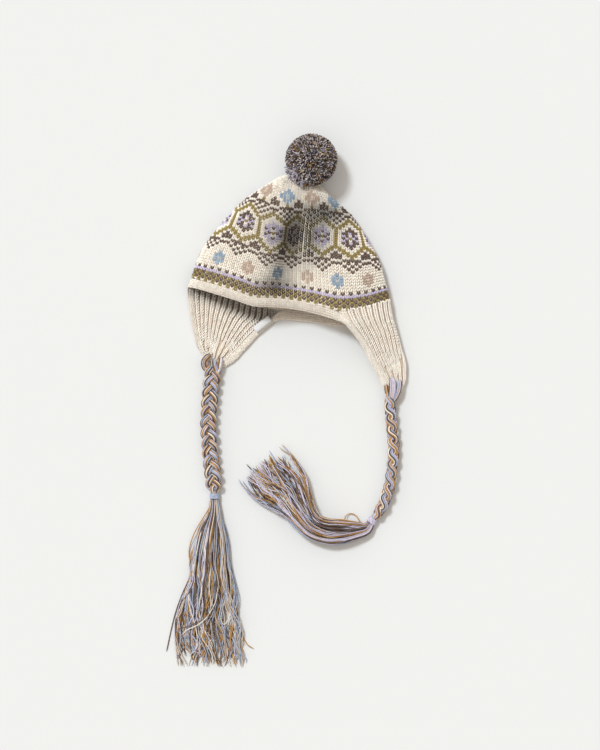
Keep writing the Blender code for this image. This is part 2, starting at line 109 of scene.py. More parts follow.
lens = bpy.data.cameras.new("overhead")
lens.lens = 174.5
lens.sensor_width = 36.0
overhead = bpy.data.objects.new("overhead", lens)
overhead.location = (0.00385, -0.12375, 4.0)
scene.collection.objects.link(overhead)
scene.camera = overhead

# Each tie is three strands of eighteen fine wool yarns, plaited flat. It is looped through the tip of an
# ear flap and bound at its lower end. The left one lies flat and the right one on its edge.
LEFT_ROUTE = (
    (-0.0923, -0.1144), (-0.0918, -0.1205), (-0.0936, -0.1355), (-0.0952, -0.1524), (-0.0964, -0.1692),
    (-0.0969, -0.1804), (-0.0958, -0.1916), (-0.0952, -0.2030), (-0.0941, -0.2140), (-0.0930, -0.2253),
    (-0.0913, -0.2366), (-0.0905, -0.2478), (-0.0902, -0.2541),
)
RIGHT_ROUTE = (
    (0.1043, -0.1415), (0.1026, -0.1550), (0.1046, -0.1785), (0.1064, -0.1965), (0.1064, -0.2133),
    (0.1051, -0.2247), (0.1035, -0.2390), (0.1002, -0.2526), (0.0957, -0.2650), (0.0897, -0.2753),
    (0.0847, -0.2819),
)
YARN_DYES = {
    "brown": (104, 82, 70), "lilac": (205, 198, 217), "blue": (172, 183, 205), "ochre": (190, 141, 76),
    "sand": (212, 194, 176), "cream": (240, 233, 222),
}


def dye(name_or_rgb):
    """A yarn colour, given as a screen colour, in the light values that a shader takes."""
    rgb = YARN_DYES[name_or_rgb] if isinstance(name_or_rgb, str) else name_or_rgb
    share = np.array(rgb, float) / 255
    return np.where(share > 0.04045, ((share + 0.055) / 1.055) ** 2.4, share / 12.92)


def wool(name, roughness, fibre, depth, patchy):
    """Wool that takes its dye from the piece's own tint, mottled, with fine fibres standing up."""
    made = bpy.data.materials.new(name)
    made.use_nodes = True
    nodes, links = made.node_tree.nodes, made.node_tree.links
    shader = nodes["Principled BSDF"]
    shader.inputs["Roughness"].default_value = roughness
    shader.inputs["Specular IOR Level"].default_value = 0.18
    shader.inputs["Sheen Weight"].default_value = 0.22
    shader.inputs["Sheen Roughness"].default_value = 0.55
    tint = nodes.new("ShaderNodeAttribute")
    tint.attribute_name = "tint"
    where = nodes.new("ShaderNodeTexCoord")
    patches = nodes.new("ShaderNodeTexNoise")
    patches.inputs["Scale"].default_value = 420.0
    patches.inputs["Detail"].default_value = 3.0
    spread = nodes.new("ShaderNodeMapRange")
    spread.inputs["From Min"].default_value = 0.25
    spread.inputs["From Max"].default_value = 0.75
    spread.inputs["To Min"].default_value = 1.0 - patchy
    spread.inputs["To Max"].default_value = 1.0 + patchy * 0.6
    shade = nodes.new("ShaderNodeVectorMath")
    shade.operation = "SCALE"
    fibres = nodes.new("ShaderNodeTexNoise")
    fibres.inputs["Scale"].default_value = fibre
    fibres.inputs["Detail"].default_value = 4.0
    raised = nodes.new("ShaderNodeBump")
    raised.inputs["Strength"].default_value = 0.7
    raised.inputs["Distance"].default_value = depth
    links.new(where.outputs["Object"], patches.inputs["Vector"])
    links.new(where.outputs["Object"], fibres.inputs["Vector"])
    links.new(patches.outputs["Fac"], spread.inputs["Value"])
    links.new(tint.outputs["Color"], shade.inputs[0])
    links.new(spread.outputs["Result"], shade.inputs["Scale"])
    links.new(shade.outputs["Vector"], shader.inputs["Base Color"])
    links.new(fibres.outputs["Fac"], raised.inputs["Height"])
    links.new(raised.outputs["Normal"], shader.inputs["Normal"])
    return made


def new_tree(name, inputs):
    """An empty Geometry Nodes tree with named inputs; returns it with its sockets' identifiers."""
    tree = bpy.data.node_groups.new(name, "GeometryNodeTree")
    tree.interface.new_socket("Drawn", in_out="INPUT", socket_type="NodeSocketGeometry")
    known = {
        label: tree.interface.new_socket(label, in_out="INPUT", socket_type=kind).identifier
        for label, kind in inputs
    }
    tree.interface.new_socket("Made", in_out="OUTPUT", socket_type="NodeSocketGeometry")
    return tree, known


def named_value(tree, name, kind):
    """Reads one of the drawn points' own attributes in a tree."""
    node = tree.nodes.new("GeometryNodeInputNamedAttribute")
    node.data_type = kind
    node.inputs["Name"].default_value = name
    return node.outputs["Attribute"]


def yarn_tree():
    """Swells each drawn line into a round yarn of the line's own thickness."""
    tree, known = new_tree("yarn_on_lines", [("Sides", "NodeSocketInt"), ("Finish", "NodeSocketMaterial")])
    nodes, links = tree.nodes, tree.links
    given, result = nodes.new("NodeGroupInput"), nodes.new("NodeGroupOutput")
    lines = nodes.new("GeometryNodeMeshToCurve")
    round_section = nodes.new("GeometryNodeCurvePrimitiveCircle")
    round_section.inputs["Radius"].default_value = 1.0
    swell = nodes.new("GeometryNodeCurveToMesh")
    swell.inputs["Fill Caps"].default_value = True
    soften = nodes.new("GeometryNodeSetShadeSmooth")
    real = nodes.new("GeometryNodeRealizeInstances")
    finish = nodes.new("GeometryNodeSetMaterial")
    links.new(given.outputs["Drawn"], lines.inputs["Mesh"])
    links.new(given.outputs["Sides"], round_section.inputs["Resolution"])
    links.new(lines.outputs["Curve"], swell.inputs["Curve"])
    links.new(round_section.outputs["Curve"], swell.inputs["Profile Curve"])
    links.new(named_value(tree, "thick", "FLOAT"), swell.inputs["Scale"])
    links.new(swell.outputs["Mesh"], soften.inputs["Geometry"])
    links.new(soften.outputs["Geometry"], real.inputs["Geometry"])
    links.new(real.outputs["Geometry"], finish.inputs["Geometry"])
    links.new(given.outputs["Finish"], finish.inputs["Material"])
    links.new(finish.outputs["Geometry"], result.inputs["Made"])
    return tree, known


def grow(name, drawn, tree, values):
    """Runs a tree on a drawn mesh and keeps what it makes as a plain mesh that stays above the table."""
    holder = bpy.data.objects.new(f"{name}_drawn", drawn)
    scene.collection.objects.link(holder)
    growing = holder.modifiers.new("growing", "NODES")
    growing.node_group = tree
    for identifier, value in values.items():
        growing[identifier] = value
    bpy.context.view_layer.update()
    graph = bpy.context.evaluated_depsgraph_get()
    mesh = bpy.data.meshes.new_from_object(
        holder.evaluated_get(graph), preserve_all_data_layers=True, depsgraph=graph
    )
    holder.modifiers.clear()
    bpy.data.objects.remove(holder)
    bpy.data.meshes.remove(drawn)
    places = np.empty(len(mesh.vertices) * 3)
    mesh.vertices.foreach_get("co", places)
    places[2::3] = np.maximum(places[2::3], 0.0002)
    mesh.vertices.foreach_set("co", places)
    mesh.update()
    mesh.name = name
    made = bpy.data.objects.new(name, mesh)
    scene.collection.objects.link(made)
    return made


def drawn_points(name, points, edges, numbers=(), vectors=(), tints=()):
    """A mesh of points and lines that carries its own values for a tree to read."""
    mesh = bpy.data.meshes.new(name)
    mesh.from_pydata(points, edges, [])
    for label, values in numbers:
        mesh.attributes.new(label, "FLOAT", "POINT").data.foreach_set("value", np.ravel(values))
    for label, values in vectors:
        mesh.attributes.new(label, "FLOAT_VECTOR", "POINT").data.foreach_set("vector", np.ravel(values))
    if len(tints):
        colours = np.concatenate([tints, np.ones((len(tints), 1))], axis=1)
        mesh.attributes.new("tint", "FLOAT_COLOR", "POINT").data.foreach_set("color", np.ravel(colours))
    return mesh


def lay_yarns(name, lines, thick, dyes, finish, sides=5):
    """One piece of many yarns: lines of points, each with its thickness and its dye."""
    points, edges, widths, tints = [], [], [], []
    start = 0
    for line, width, colour in zip(lines, thick, dyes):
        count = len(line)
        share = np.linspace(0, 1, count)
        taper = np.clip(np.minimum(share, 1 - share) * count / 1.2 + 0.35, 0, 1)
        points.append(line)
        widths.append(np.broadcast_to(width, count) * taper)
        tints.append(np.broadcast_to(colour, (count, 3)))
        edges.extend((start + i, start + i + 1) for i in range(count - 1))
        start += count
    tree, known = yarn_tree()
    drawn = drawn_points(
        name, np.concatenate(points), edges, numbers=[("thick", np.concatenate(widths))], tints=np.concatenate(tints)
    )
    return grow(name, drawn, tree, {known["Sides"]: sides, known["Finish"]: finish})


def along_route(route, spacing):
    """Points a spacing apart on a smooth curve through a route's points, with the way it runs there."""
    points = np.array(route, float)
    ends = np.vstack([2 * points[0] - points[1], points, 2 * points[-1] - points[-2]])
    fine = []
    for a, b, c, d in zip(ends, ends[1:], ends[2:], ends[3:]):
        for t in np.linspace(0, 1, 24, endpoint=False):
            bent = (2 * a - 5 * b + 4 * c - d) * t**2 + (3 * b - a - 3 * c + d) * t**3
            fine.append(0.5 * (2 * b + (c - a) * t + bent))
    fine = np.array([*fine, points[-1]])
    run = np.concatenate([[0], np.cumsum(np.linalg.norm(np.diff(fine, axis=0), axis=1))])
    at = np.linspace(0, run[-1], max(2, round(run[-1] / spacing) + 1))
    picked = np.stack([np.interp(at, run, fine[:, k]) for k in range(points.shape[1])], axis=1)
    way = np.gradient(picked, axis=0)
    return picked, way / np.linalg.norm(way, axis=1, keepdims=True), at


BRAID_YARN = 0.00078
STRAND_DYES = (
    "lilac", "ochre", "blue", "brown", "sand", "ochre", "lilac", "brown", "ochre", "cream", "brown", "blue",
)
STEP = 0.0013
rng = np.random.default_rng(7)
tie_wool = wool("tie_wool", 0.92, 1500.0, 0.0004, 0.16)


def plait(route, amplitude, swing, turned, middle, period):
    """Lines of the yarns of a plait on a route. turned: how far it is rolled on its side, in radians."""
    centre, way, at = along_route(route, STEP)
    aside = np.stack([way[:, 1], -way[:, 0]], axis=1)
    last = at[-1]
    narrow = np.clip((last - at) / 0.009, 0.30, 1.0)
    lines, dyes = [], []
    for strand in range(3):
        phase = math.tau * at / period + math.tau * strand / 3
        wide = amplitude * np.sin(phase) * narrow
        high = swing * np.sin(2 * phase) * narrow
        out = wide * math.cos(turned) - high * math.sin(turned)
        up = wide * math.sin(turned) + high * math.cos(turned)
        core = np.column_stack([centre + aside * out[:, None], middle + up])
        forward = np.gradient(core, axis=0)
        forward /= np.linalg.norm(forward, axis=1, keepdims=True)
        side = np.cross(forward, (0.0, 0.0, 1.0))
        side /= np.linalg.norm(side, axis=1, keepdims=True)
        over = np.cross(side, forward)
        for yarn in range(18):
            outer = yarn < 12
            angle = math.tau * (yarn / 12 if outer else (yarn - 12 + 0.5) / 6) + at * 70 + rng.uniform(-0.12, 0.12)
            ring = (3.7 if outer else 1.9) * BRAID_YARN
            wobble = 1 + 0.07 * np.sin(at * rng.uniform(250, 520) + rng.uniform(0, 6))
            shift = side * (ring * wobble * np.cos(angle))[:, None] + over * (ring * wobble * np.sin(angle))[:, None]
            lines.append(core + shift * (0.5 + 0.5 * narrow)[:, None])
            dyes.append(dye(STRAND_DYES[(strand * 5 + yarn) % 12]) * rng.uniform(0.88, 1.08))
    return lines, dyes


def tip_bunch(points, count, spread, names):
    """The upper ends of some of a tie's yarns, which come out of a flap's tip; points are in millimetres."""
    centre, way, at = along_route(np.array(points, float) / 1000, 0.0014)
    aside = np.stack([way[:, 1], -way[:, 0]], axis=1)
    lines, dyes = [], []
    for i in range(count):
        share = (i + 0.5) / count * 2 - 1
        side = aside * (spread / 1000 * share * (0.75 + 0.25 * np.sin(math.pi * at / at[-1])))[:, None]
        crown_of_bunch = 0.0011 * (1 - share * share) + 0.0004 * (i % 2)
        lines.append(np.column_stack([centre[:, :2] + side, centre[:, 2] + crown_of_bunch]))
        dyes.append(dye(names[i % len(names)]))
    return lines, dyes


TIP_BUNCHES = {
    "left": (
        (((-94.0, -102.0, 4), (-96.5, -102.8, 9.5), (-101.4, -108.5, 9.5), (-101.0, -115.0, 8), (-95.5, -121.5, 7)), 6, 2.9,
         ("ochre", "brown", "lilac", "ochre", "blue", "brown")),
        (((-91.0, -105.5, 4), (-91.0, -107.5, 10.5), (-90.4, -114.0, 11), (-88.4, -120.0, 10), (-88.8, -126.0, 7)), 5, 2.6,
         ("lilac", "blue", "ochre", "brown", "blue")),
        (((-83.4, -104.0, 4), (-83.4, -106.0, 9.5), (-84.2, -112.0, 10), (-86.5, -120.0, 9), (-90.5, -125.5, 6)), 5, 2.5,
         ("lilac", "cream", "lilac", "brown", "ochre")),
    ),
    "right": (
        (((98.6, -133.5, 6), (98.6, -135.6, 11), (99.4, -142.0, 11), (101.8, -150.0, 9), (104.0, -156.0, 6)), 5, 2.3,
         ("ochre", "brown", "sand", "ochre", "brown")),
        (((105.0, -126.5, 7), (105.2, -128.8, 12.5), (105.4, -137.0, 13.5), (104.6, -146.0, 13), (102.8, -154.0, 9)), 7, 3.7,
         ("blue", "lilac", "sand", "lilac", "ochre", "lilac", "brown")),
        (((113.2, -129.0, 6), (113.2, -131.2, 11), (112.4, -140.0, 11.5), (108.6, -148.5, 11), (103.4, -155.0, 8)), 5, 2.2,
         ("brown", "lilac", "ochre", "blue", "lilac")),
    ),
}
braids = {}
for side, route, amplitude, swing, turned, middle, period, broad in (
    ("left", LEFT_ROUTE, 0.0060, 0.0036, 0.0, 0.0075, 0.033, 0.0195),
    ("right", RIGHT_ROUTE, 0.0036, -0.0029, 1.45, 0.0077, 0.038, 0.0150),
):
    lines, dyes = plait(route, amplitude, swing, turned, middle, period)
    braid = lay_yarns(f"braid_{side}_plait", lines, [BRAID_YARN] * len(lines), dyes, tie_wool)
    lines, dyes = [], []
    for points, count, spread, names in TIP_BUNCHES[side]:
        bunch, bunch_dyes = tip_bunch(points, count, spread, names)
        lines += bunch
        dyes += bunch_dyes
    loops = lay_yarns(f"braid_{side}_loops", lines, [BRAID_YARN * 1.05] * len(lines), dyes, tie_wool)
    for piece in (braid, loops):
        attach(piece, "root")
        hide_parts(f"braid_{side}")
    middle_line = along_route(route, 0.004)[0]
    path = np.column_stack([middle_line, np.full(len(middle_line), middle)])
    run = float(np.sum(np.linalg.norm(np.diff(path, axis=0), axis=1)))
    braids[side] = (braid, loops, path, run, broad)

# A length of the same yarn is wound tightly round the end of each plait and knotted, which holds the
# strands and shapes the neck of the tassel.
TIE_TURNS = 6
for side, route, colour in (("left", LEFT_ROUTE, "blue"), ("right", RIGHT_ROUTE, "lilac")):
    end = np.array(route[-1])
    way = end - np.array(route[-2])
    way /= np.linalg.norm(way)
    across = np.array([way[1], -way[0]])
    angle = np.linspace(0, math.tau * TIE_TURNS, TIE_TURNS * 18)
    down = np.linspace(0.0008, 0.0062, len(angle)) - 0.0006
    wide, tall = 0.0046, 0.0044
    flat = end + way * down[:, None] + across * (wide * np.cos(angle))[:, None]
    wound = np.column_stack([flat, 0.0054 + tall * np.sin(angle)])
    knot_angle = np.linspace(0.2, 5.6, 22)
    knot_centre = end + way * 0.0034 + across * 0.0018
    knot = np.column_stack([
        knot_centre + across * (0.0019 * np.cos(knot_angle))[:, None] + way * (0.0015 * np.sin(knot_angle))[:, None],
        0.0102 + 0.0007 * np.sin(2 * knot_angle),
    ])
    binding = lay_yarns(
        f"binding_{side}", [wound, wound + (0, 0, -0.0001), knot], [0.00085, 0.0005, 0.0008],
        [dye(colour), dye("sand"), dye(colour)], tie_wool, sides=6,
    )
    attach(binding, "root")
    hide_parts(f"braid_tie_{side}")
    braid, loops, path, run, broad = braids[side]

# The yarns run on below the binding and hang loose, combed out, with uneven cut ends and a few strays.
TASSEL_YARN = 0.00058
TASSEL_DYES = ["blue", "lilac", "ochre", "sand", "ochre", "brown", "lilac", "cream", "sand", "blue", "brown", "ochre"]


def smooth(knots, values, at):
    """Values of a smooth curve through the knots that never overshoots them. values may differ by point."""
    knots, at = np.asarray(knots, float), np.asarray(at, float)
    flat = np.clip(at.ravel(), knots[0], knots[-1])
    values = np.asarray(values, float)
    if values.ndim == 1:
        values = np.repeat(values[:, None], flat.size, axis=1)
    values = values.reshape(len(knots), -1)
    width = np.diff(knots)
    slopes = np.diff(values, axis=0) / width[:, None]
    both = slopes[:-1] * slopes[1:]
    bend = np.where(both > 0, 2 * both / np.where(both > 0, slopes[:-1] + slopes[1:], 1.0), 0.0)
    bends = np.vstack([slopes[:1], bend, slopes[-1:]])
    i = np.clip(np.searchsorted(knots, flat), 1, len(knots) - 1)
    own = np.arange(flat.size)
    span = width[i - 1]
    t = (flat - knots[i - 1]) / span
    result = (
        values[i - 1, own] * (1 + 2 * t) * (1 - t) ** 2
        + bends[i - 1, own] * span * t * (1 - t) ** 2
        + values[i, own] * t * t * (3 - 2 * t)
        - bends[i, own] * span * t * t * (1 - t)
    )
    return result.reshape(at.shape)


TASSEL_LOCKS = 15


def loose_yarns(route, widths, heights, count, seed, ends, rounding, locks=TASSEL_LOCKS):
    """Loose yarns that follow a route in locks. widths and heights (in mm) are the tassel's own along it,
    ends the shares at which its left and right sides stop, rounding how much lower its edges lie."""
    chance = np.random.default_rng(seed)
    centre, way, at = along_route(route, 0.0036)
    aside = np.stack([way[:, 1], -way[:, 0]], axis=1)
    share = at / at[-1]
    known = np.linspace(0, 1, len(widths))
    half = smooth(known, np.array(widths) / 2, share)
    tall = smooth(np.linspace(0, 1, len(heights)), np.array(heights) / 1000, share)
    lines, dyes = [], []
    lock_at = np.linspace(-0.93, 0.93, locks) + chance.uniform(-0.05, 0.05, locks)
    lock_drift = chance.uniform(-0.42, 0.42, locks)
    lock_dye = chance.integers(0, len(TASSEL_DYES), locks)
    lock_end = ends[0] + (ends[1] - ends[0]) * (lock_at + 1) / 2 + chance.uniform(-0.06, 0.04, locks)
    lock_wave = chance.uniform(0, 6, locks)
    lock_level = chance.uniform(0.1, 0.9, locks)
    for i in range(count):
        lock = int(chance.integers(0, locks))
        home = lock_at[lock] + chance.normal(0, 0.055)
        start = np.clip(home * 0.9 + chance.normal(0, 0.16), -0.92, 0.92)
        settle = np.clip(share / 0.25, 0, 1)
        settle = settle * settle * (3 - 2 * settle)
        aim = start * (1 - settle) + (home + lock_drift[lock] * share**1.5) * settle
        together = 0.13 * np.sin(share * 9.5 + lock_wave[lock]) * share
        alone = chance.uniform(0.03, 0.15) * np.sin(share * chance.uniform(12, 34) + chance.uniform(0, 6)) * share**0.7
        away = chance.normal(0, 0.17) * np.clip((share - 0.65) / 0.35, 0, 1) ** 1.5
        p = np.clip(aim + together + alone + away, -1.02, 1.02)
        level = np.clip(lock_level[lock] + chance.normal(0, 0.22), 0.0, 1.0)
        roof = tall * np.sqrt(np.clip(1 - rounding * p**4, 0.05, 1))
        crimp = 0.0009 * np.sin(share * chance.uniform(16, 30) + chance.uniform(0, 6)) * np.clip(share * 3, 0, 1)
        z = np.maximum(TASSEL_YARN, TASSEL_YARN + roof * (0.06 + 0.88 * level) + crimp)
        line = np.column_stack([centre + aside * (half * p)[:, None], z])
        last = min(chance.normal(lock_end[lock], 0.026), (ends[0] + ends[1]) / 2 + 0.05)
        keep = max(6, int(round(min(1.0, last) * (len(at) - 1))) + 1)
        lines.append(line[:keep])
        pick = lock_dye[lock] if chance.random() < 0.3 else chance.integers(0, len(TASSEL_DYES))
        dyes.append(dye(TASSEL_DYES[pick]) * chance.uniform(0.84, 1.08))
    return lines, dyes


def on_table(points):
    """A stray's own points, given in millimetres with its height, as a smooth line."""
    return along_route(np.array(points, float) / 1000, 0.003)[0]


left_route = (
    (-0.0901, -0.2600), (-0.0902, -0.2640), (-0.0903, -0.2755), (-0.0924, -0.2950), (-0.0945, -0.3270),
    (-0.0940, -0.3600), (-0.0950, -0.3830), (-0.0950, -0.4040), (-0.0930, -0.4250), (-0.0930, -0.4440),
)
left_widths = np.array([9, 15, 27, 35, 40, 44, 52, 60, 67, 70, 70, 66]) * 0.0011
right_route = (
    (0.0812, -0.2862), (0.0765, -0.2925), (0.0655, -0.2945), (0.0490, -0.2958), (0.0336, -0.2954),
    (0.0193, -0.2899), (0.0088, -0.2800), (-0.0018, -0.2648), (-0.0148, -0.2474), (-0.0306, -0.2308),
    (-0.0435, -0.2151), (-0.0490, -0.2085),
)
right_widths = np.array([8, 17, 23, 25, 25, 27, 34, 45, 54, 57, 55, 44]) * 0.0011
left_strays = [
    ([(-91, -262, 8), (-99, -275, 8), (-112, -297, 5), (-118, -316, 2), (-117, -332, 1)], "ochre"),
    ([(-112, -330, 4), (-116, -343, 3), (-127, -368, 2), (-135, -392, 1), (-143, -428, 1)], "brown"),
    ([(-80, -350, 8), (-74, -378, 5), (-64, -400, 2), (-55, -419, 1), (-47, -425, 1)], "ochre"),
    ([(-87, -355, 13), (-88, -372, 13), (-100, -390, 13), (-118, -399, 12), (-130, -403, 8)], "brown"),
    ([(-86, -356, 13), (-90, -376, 13), (-104, -395, 13), (-119, -403, 11), (-126, -409, 6)], "cream"),
    ([(-78, -362, 10), (-72, -376, 10), (-75, -392, 9), (-80, -398, 8), (-83, -390, 8), (-79, -370, 9)], "cream"),
    ([(-79, -364, 11), (-83, -380, 11), (-85, -393, 10), (-80, -401, 9), (-78, -415, 7)], "blue"),
    ([(-119, -372, 5), (-128, -388, 4), (-130, -404, 3), (-122, -412, 3), (-112, -408, 5)], "lilac"),
]
right_strays = [
    ([(-23, -241, 9), (-30, -252, 4), (-33, -262, 1), (-29, -267, 1), (-25, -262, 2), (-26, -250, 5)], "lilac"),
    ([(70, -287, 9), (66, -279, 5), (60, -276, 2), (54, -279, 4), (52, -287, 9)], "ochre"),
    ([(8, -288, 8), (-4, -282, 4), (-20, -262, 2), (-38, -240, 1), (-55, -222, 1)], "brown"),
    ([(20, -281, 8), (2, -262, 8), (-10, -240, 6), (-22, -220, 3), (-30, -207, 1)], "blue"),
]
for side, route, widths, heights, strays, seed, count, ends, rounding in (
    ("left", left_route, left_widths, (9, 12, 14, 14, 13, 11, 8, 4), left_strays, 11, 190, (0.955, 0.955), 0.9),
    ("right", right_route, right_widths, (9, 17, 22, 23, 20, 15, 10, 6), right_strays, 23, 175, (0.88, 0.85), 0.30),
):
    lines, dyes = loose_yarns(route, widths, heights, count, seed, ends, rounding)
    lines += [on_table(points) for points, _ in strays]
    dyes += [dye(colour) for _, colour in strays]
    tassel = lay_yarns(f"tassel_{side}_yarns", lines, [TASSEL_YARN] * len(lines), dyes, tie_wool, sides=4)
    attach(tassel, "root")
    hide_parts(f"tassel_{side}")

# A dome of stranded colourwork, knitted in the round from the brim in fine wool, which lies on its back
# with the front puffed up. Its pattern runs round in repeats of eight stitches, and it narrows upwards.
FLAT_WIDTH, CROWN_HEIGHT, PUFF_HEIGHT = 0.222, 0.122, 0.050
FOLD_HEIGHT, FOLD_REACH, FOLD_POWER, SEAM = 0.022, 0.012, 4, 0.0012
BRIM_CENTRE, AXIS_TURN = (-0.00715, -0.03135), math.radians(-6.28)
# Rows from brim to apex: row, rise, left and right half widths, height of the front, side and underside.
CROWN_FORM = np.array((
    (0.00, -0.060, 0.983, 0.987, 0.90, 0.50, 0.00), (0.17, 0.153, 0.925, 0.908, 0.97, 0.50, 0.00),
    (0.26, 0.262, 0.870, 0.863, 1.00, 0.50, 0.00), (0.46, 0.486, 0.715, 0.712, 0.97, 0.50, 0.00),
    (0.66, 0.720, 0.537, 0.530, 0.86, 0.50, 0.00), (0.75, 0.835, 0.405, 0.380, 0.74, 0.51, 0.00),
    (0.81, 0.905, 0.305, 0.275, 0.64, 0.54, 0.02), (0.88, 0.958, 0.235, 0.200, 0.52, 0.57, 0.08),
    (0.95, 0.988, 0.150, 0.135, 0.40, 0.60, 0.17), (1.00, 1.000, 0.000, 0.000, 0.27, 0.615, 0.27),
))
# Folds across the front: place, how far it sinks and lifts at brim, middle and top, lift of the back row.
FOLDS = np.array((
    (-1.00, 0.00, 0.00, 0.00, 0.100, 0.095, 0.050, 0.100), (-0.75, 0.00, 0.00, 0.00, 0.060, 0.085, 0.040, 0.030),
    (-0.50, -0.02, -0.04, 0.00, 0.015, 0.025, 0.005, -0.060), (-0.32, -0.02, -0.03, 0.02, -0.020, -0.015, 0.000, -0.095),
    (-0.22, 0.02, 0.01, 0.02, -0.010, -0.012, 0.000, -0.098), (-0.05, 0.15, 0.46, 0.11, -0.001, -0.008, 0.001, -0.100),
    (0.10, 0.24, 0.62, 0.16, -0.005, 0.000, 0.005, -0.100), (0.30, 0.15, 0.38, 0.09, -0.028, 0.012, 0.010, -0.100),
    (0.50, 0.00, 0.06, 0.01, -0.052, 0.012, 0.010, -0.110),
    (0.75, -0.03, -0.06, 0.00, -0.006, 0.018, 0.005, -0.040), (1.00, 0.00, 0.00, 0.00, 0.090, 0.055, 0.000, 0.090),
))
FOLD_ROWS = (0.0, 0.4, 0.75)


def placed(aside, ahead, height):
    """Points of the hat's own frame, which runs up its axis, in the part's frame."""
    cos, sin = math.cos(AXIS_TURN), math.sin(AXIS_TURN)
    x = BRIM_CENTRE[0] + aside * cos - ahead * sin
    y = BRIM_CENTRE[1] + aside * sin + ahead * cos
    return np.stack(np.broadcast_arrays(x, y, height), axis=-1)


def fold_share(kind, across, row):
    """How far the knit sinks (kind 1) or its rows lift (kind 4) at a place across the front."""
    parts = np.stack([smooth(FOLDS[:, 0], FOLDS[:, kind + part], across) for part in range(3)])
    return smooth(FOLD_ROWS, parts, row)


def crown_point(turn, row):
    """Outer face of the crown: turn goes round from the left fold over the front, row from brim to apex."""
    turn, row = (np.array(a) for a in np.broadcast_arrays(np.asarray(turn, float), np.asarray(row, float)))
    below, row = np.minimum(row, 0.0), np.maximum(row, 0.0)
    across, front = -np.cos(math.tau * turn), np.sin(math.tau * turn)
    rise, left, right, top, side, under = (smooth(CROWN_FORM[:, 0], CROWN_FORM[:, k], row) for k in range(1, 7))
    half = FLAT_WIDTH / 2 * np.where(across < 0, left, right)
    middle = FOLD_HEIGHT * side
    front_top = PUFF_HEIGHT * top * (1 - fold_share(1, across, row))
    front_height = middle + (front_top - middle) * front
    edge = np.minimum(FOLD_REACH, half)
    into = np.clip((np.abs(across) * half - (half - edge)) / np.maximum(edge, 1e-9), 0, 1)
    low = PUFF_HEIGHT * under
    back_height = low + (middle - low) * (1 - np.sqrt(1 - into * into))
    fold = np.where(across < 0, -1.0, 1.0)
    at_fold = smooth(FOLDS[:, 0], FOLDS[:, 7], fold) * (1 - row)
    back_lift = smooth(FOLDS[:, 0], FOLDS[:, 7], across) * (1 - row)
    back_lift = back_lift + (fold_share(4, fold, row) - at_fold) * np.abs(across) ** FOLD_POWER
    is_front = front >= 0
    lift = np.where(is_front, fold_share(4, across, row), back_lift)
    ahead = CROWN_HEIGHT * (rise + lift + 1.1 * below)
    return placed(across * half, ahead, np.where(is_front, front_height, back_height))


def lie_of(surface, a, b, small=0.002):
    """A surface's points at (a, b), with the ways across and up it there and the way it faces."""
    across = surface(a + small, b) - surface(a - small, b)
    up = surface(a, b + small) - surface(a, b - small)
    facing = np.cross(across, up)
    lengths = [np.linalg.norm(v, axis=-1, keepdims=True) for v in (across, up, facing)]
    across, facing = across / np.maximum(lengths[0], 1e-12), facing / np.maximum(lengths[2], 1e-12)
    return surface(a, b), across, facing, lengths[1][..., 0] / (2 * small)


def stitch_shape(sides=6):
    """One knit stitch: a V of two plump legs that come up through the stitch below and lean apart."""
    rings = ((0.05, -0.68, -0.42, 0.0), (0.13, -0.36, 0.00, 0.150), (0.235, 0.06, 0.10, 0.185),
             (0.33, 0.44, -0.02, 0.145), (0.37, 0.74, -0.45, 0.0))
    depth_of_leg = 2.3
    mesh = bmesh.new()
    for hand in (-1, 1):
        made = []
        for x, y, z, r in rings:
            if r == 0.0:
                made.append([mesh.verts.new((hand * x, y, z))])
                continue
            turns = [math.tau * k / sides for k in range(sides)]
            made.append([
                mesh.verts.new((
                    hand * x + r * math.cos(t), y - 0.3 * r * hand * math.cos(t), z + depth_of_leg * r * math.sin(t)
                ))
                for t in turns
            ])
        for low, high in zip(made, made[1:]):
            for k in range(sides):
                n = (k + 1) % sides
                corners = [low[k % len(low)], low[n % len(low)], high[n % len(high)], high[k % len(high)]]
                mesh.faces.new(list(dict.fromkeys(corners)))
    bmesh.ops.recalc_face_normals(mesh, faces=mesh.faces[:])
    data = bpy.data.meshes.new("knit_stitch")
    mesh.to_mesh(data)
    mesh.free()
    made = bpy.data.objects.new("knit_stitch", data)
    scene.collection.objects.link(made)
    made.hide_render = True
    return made


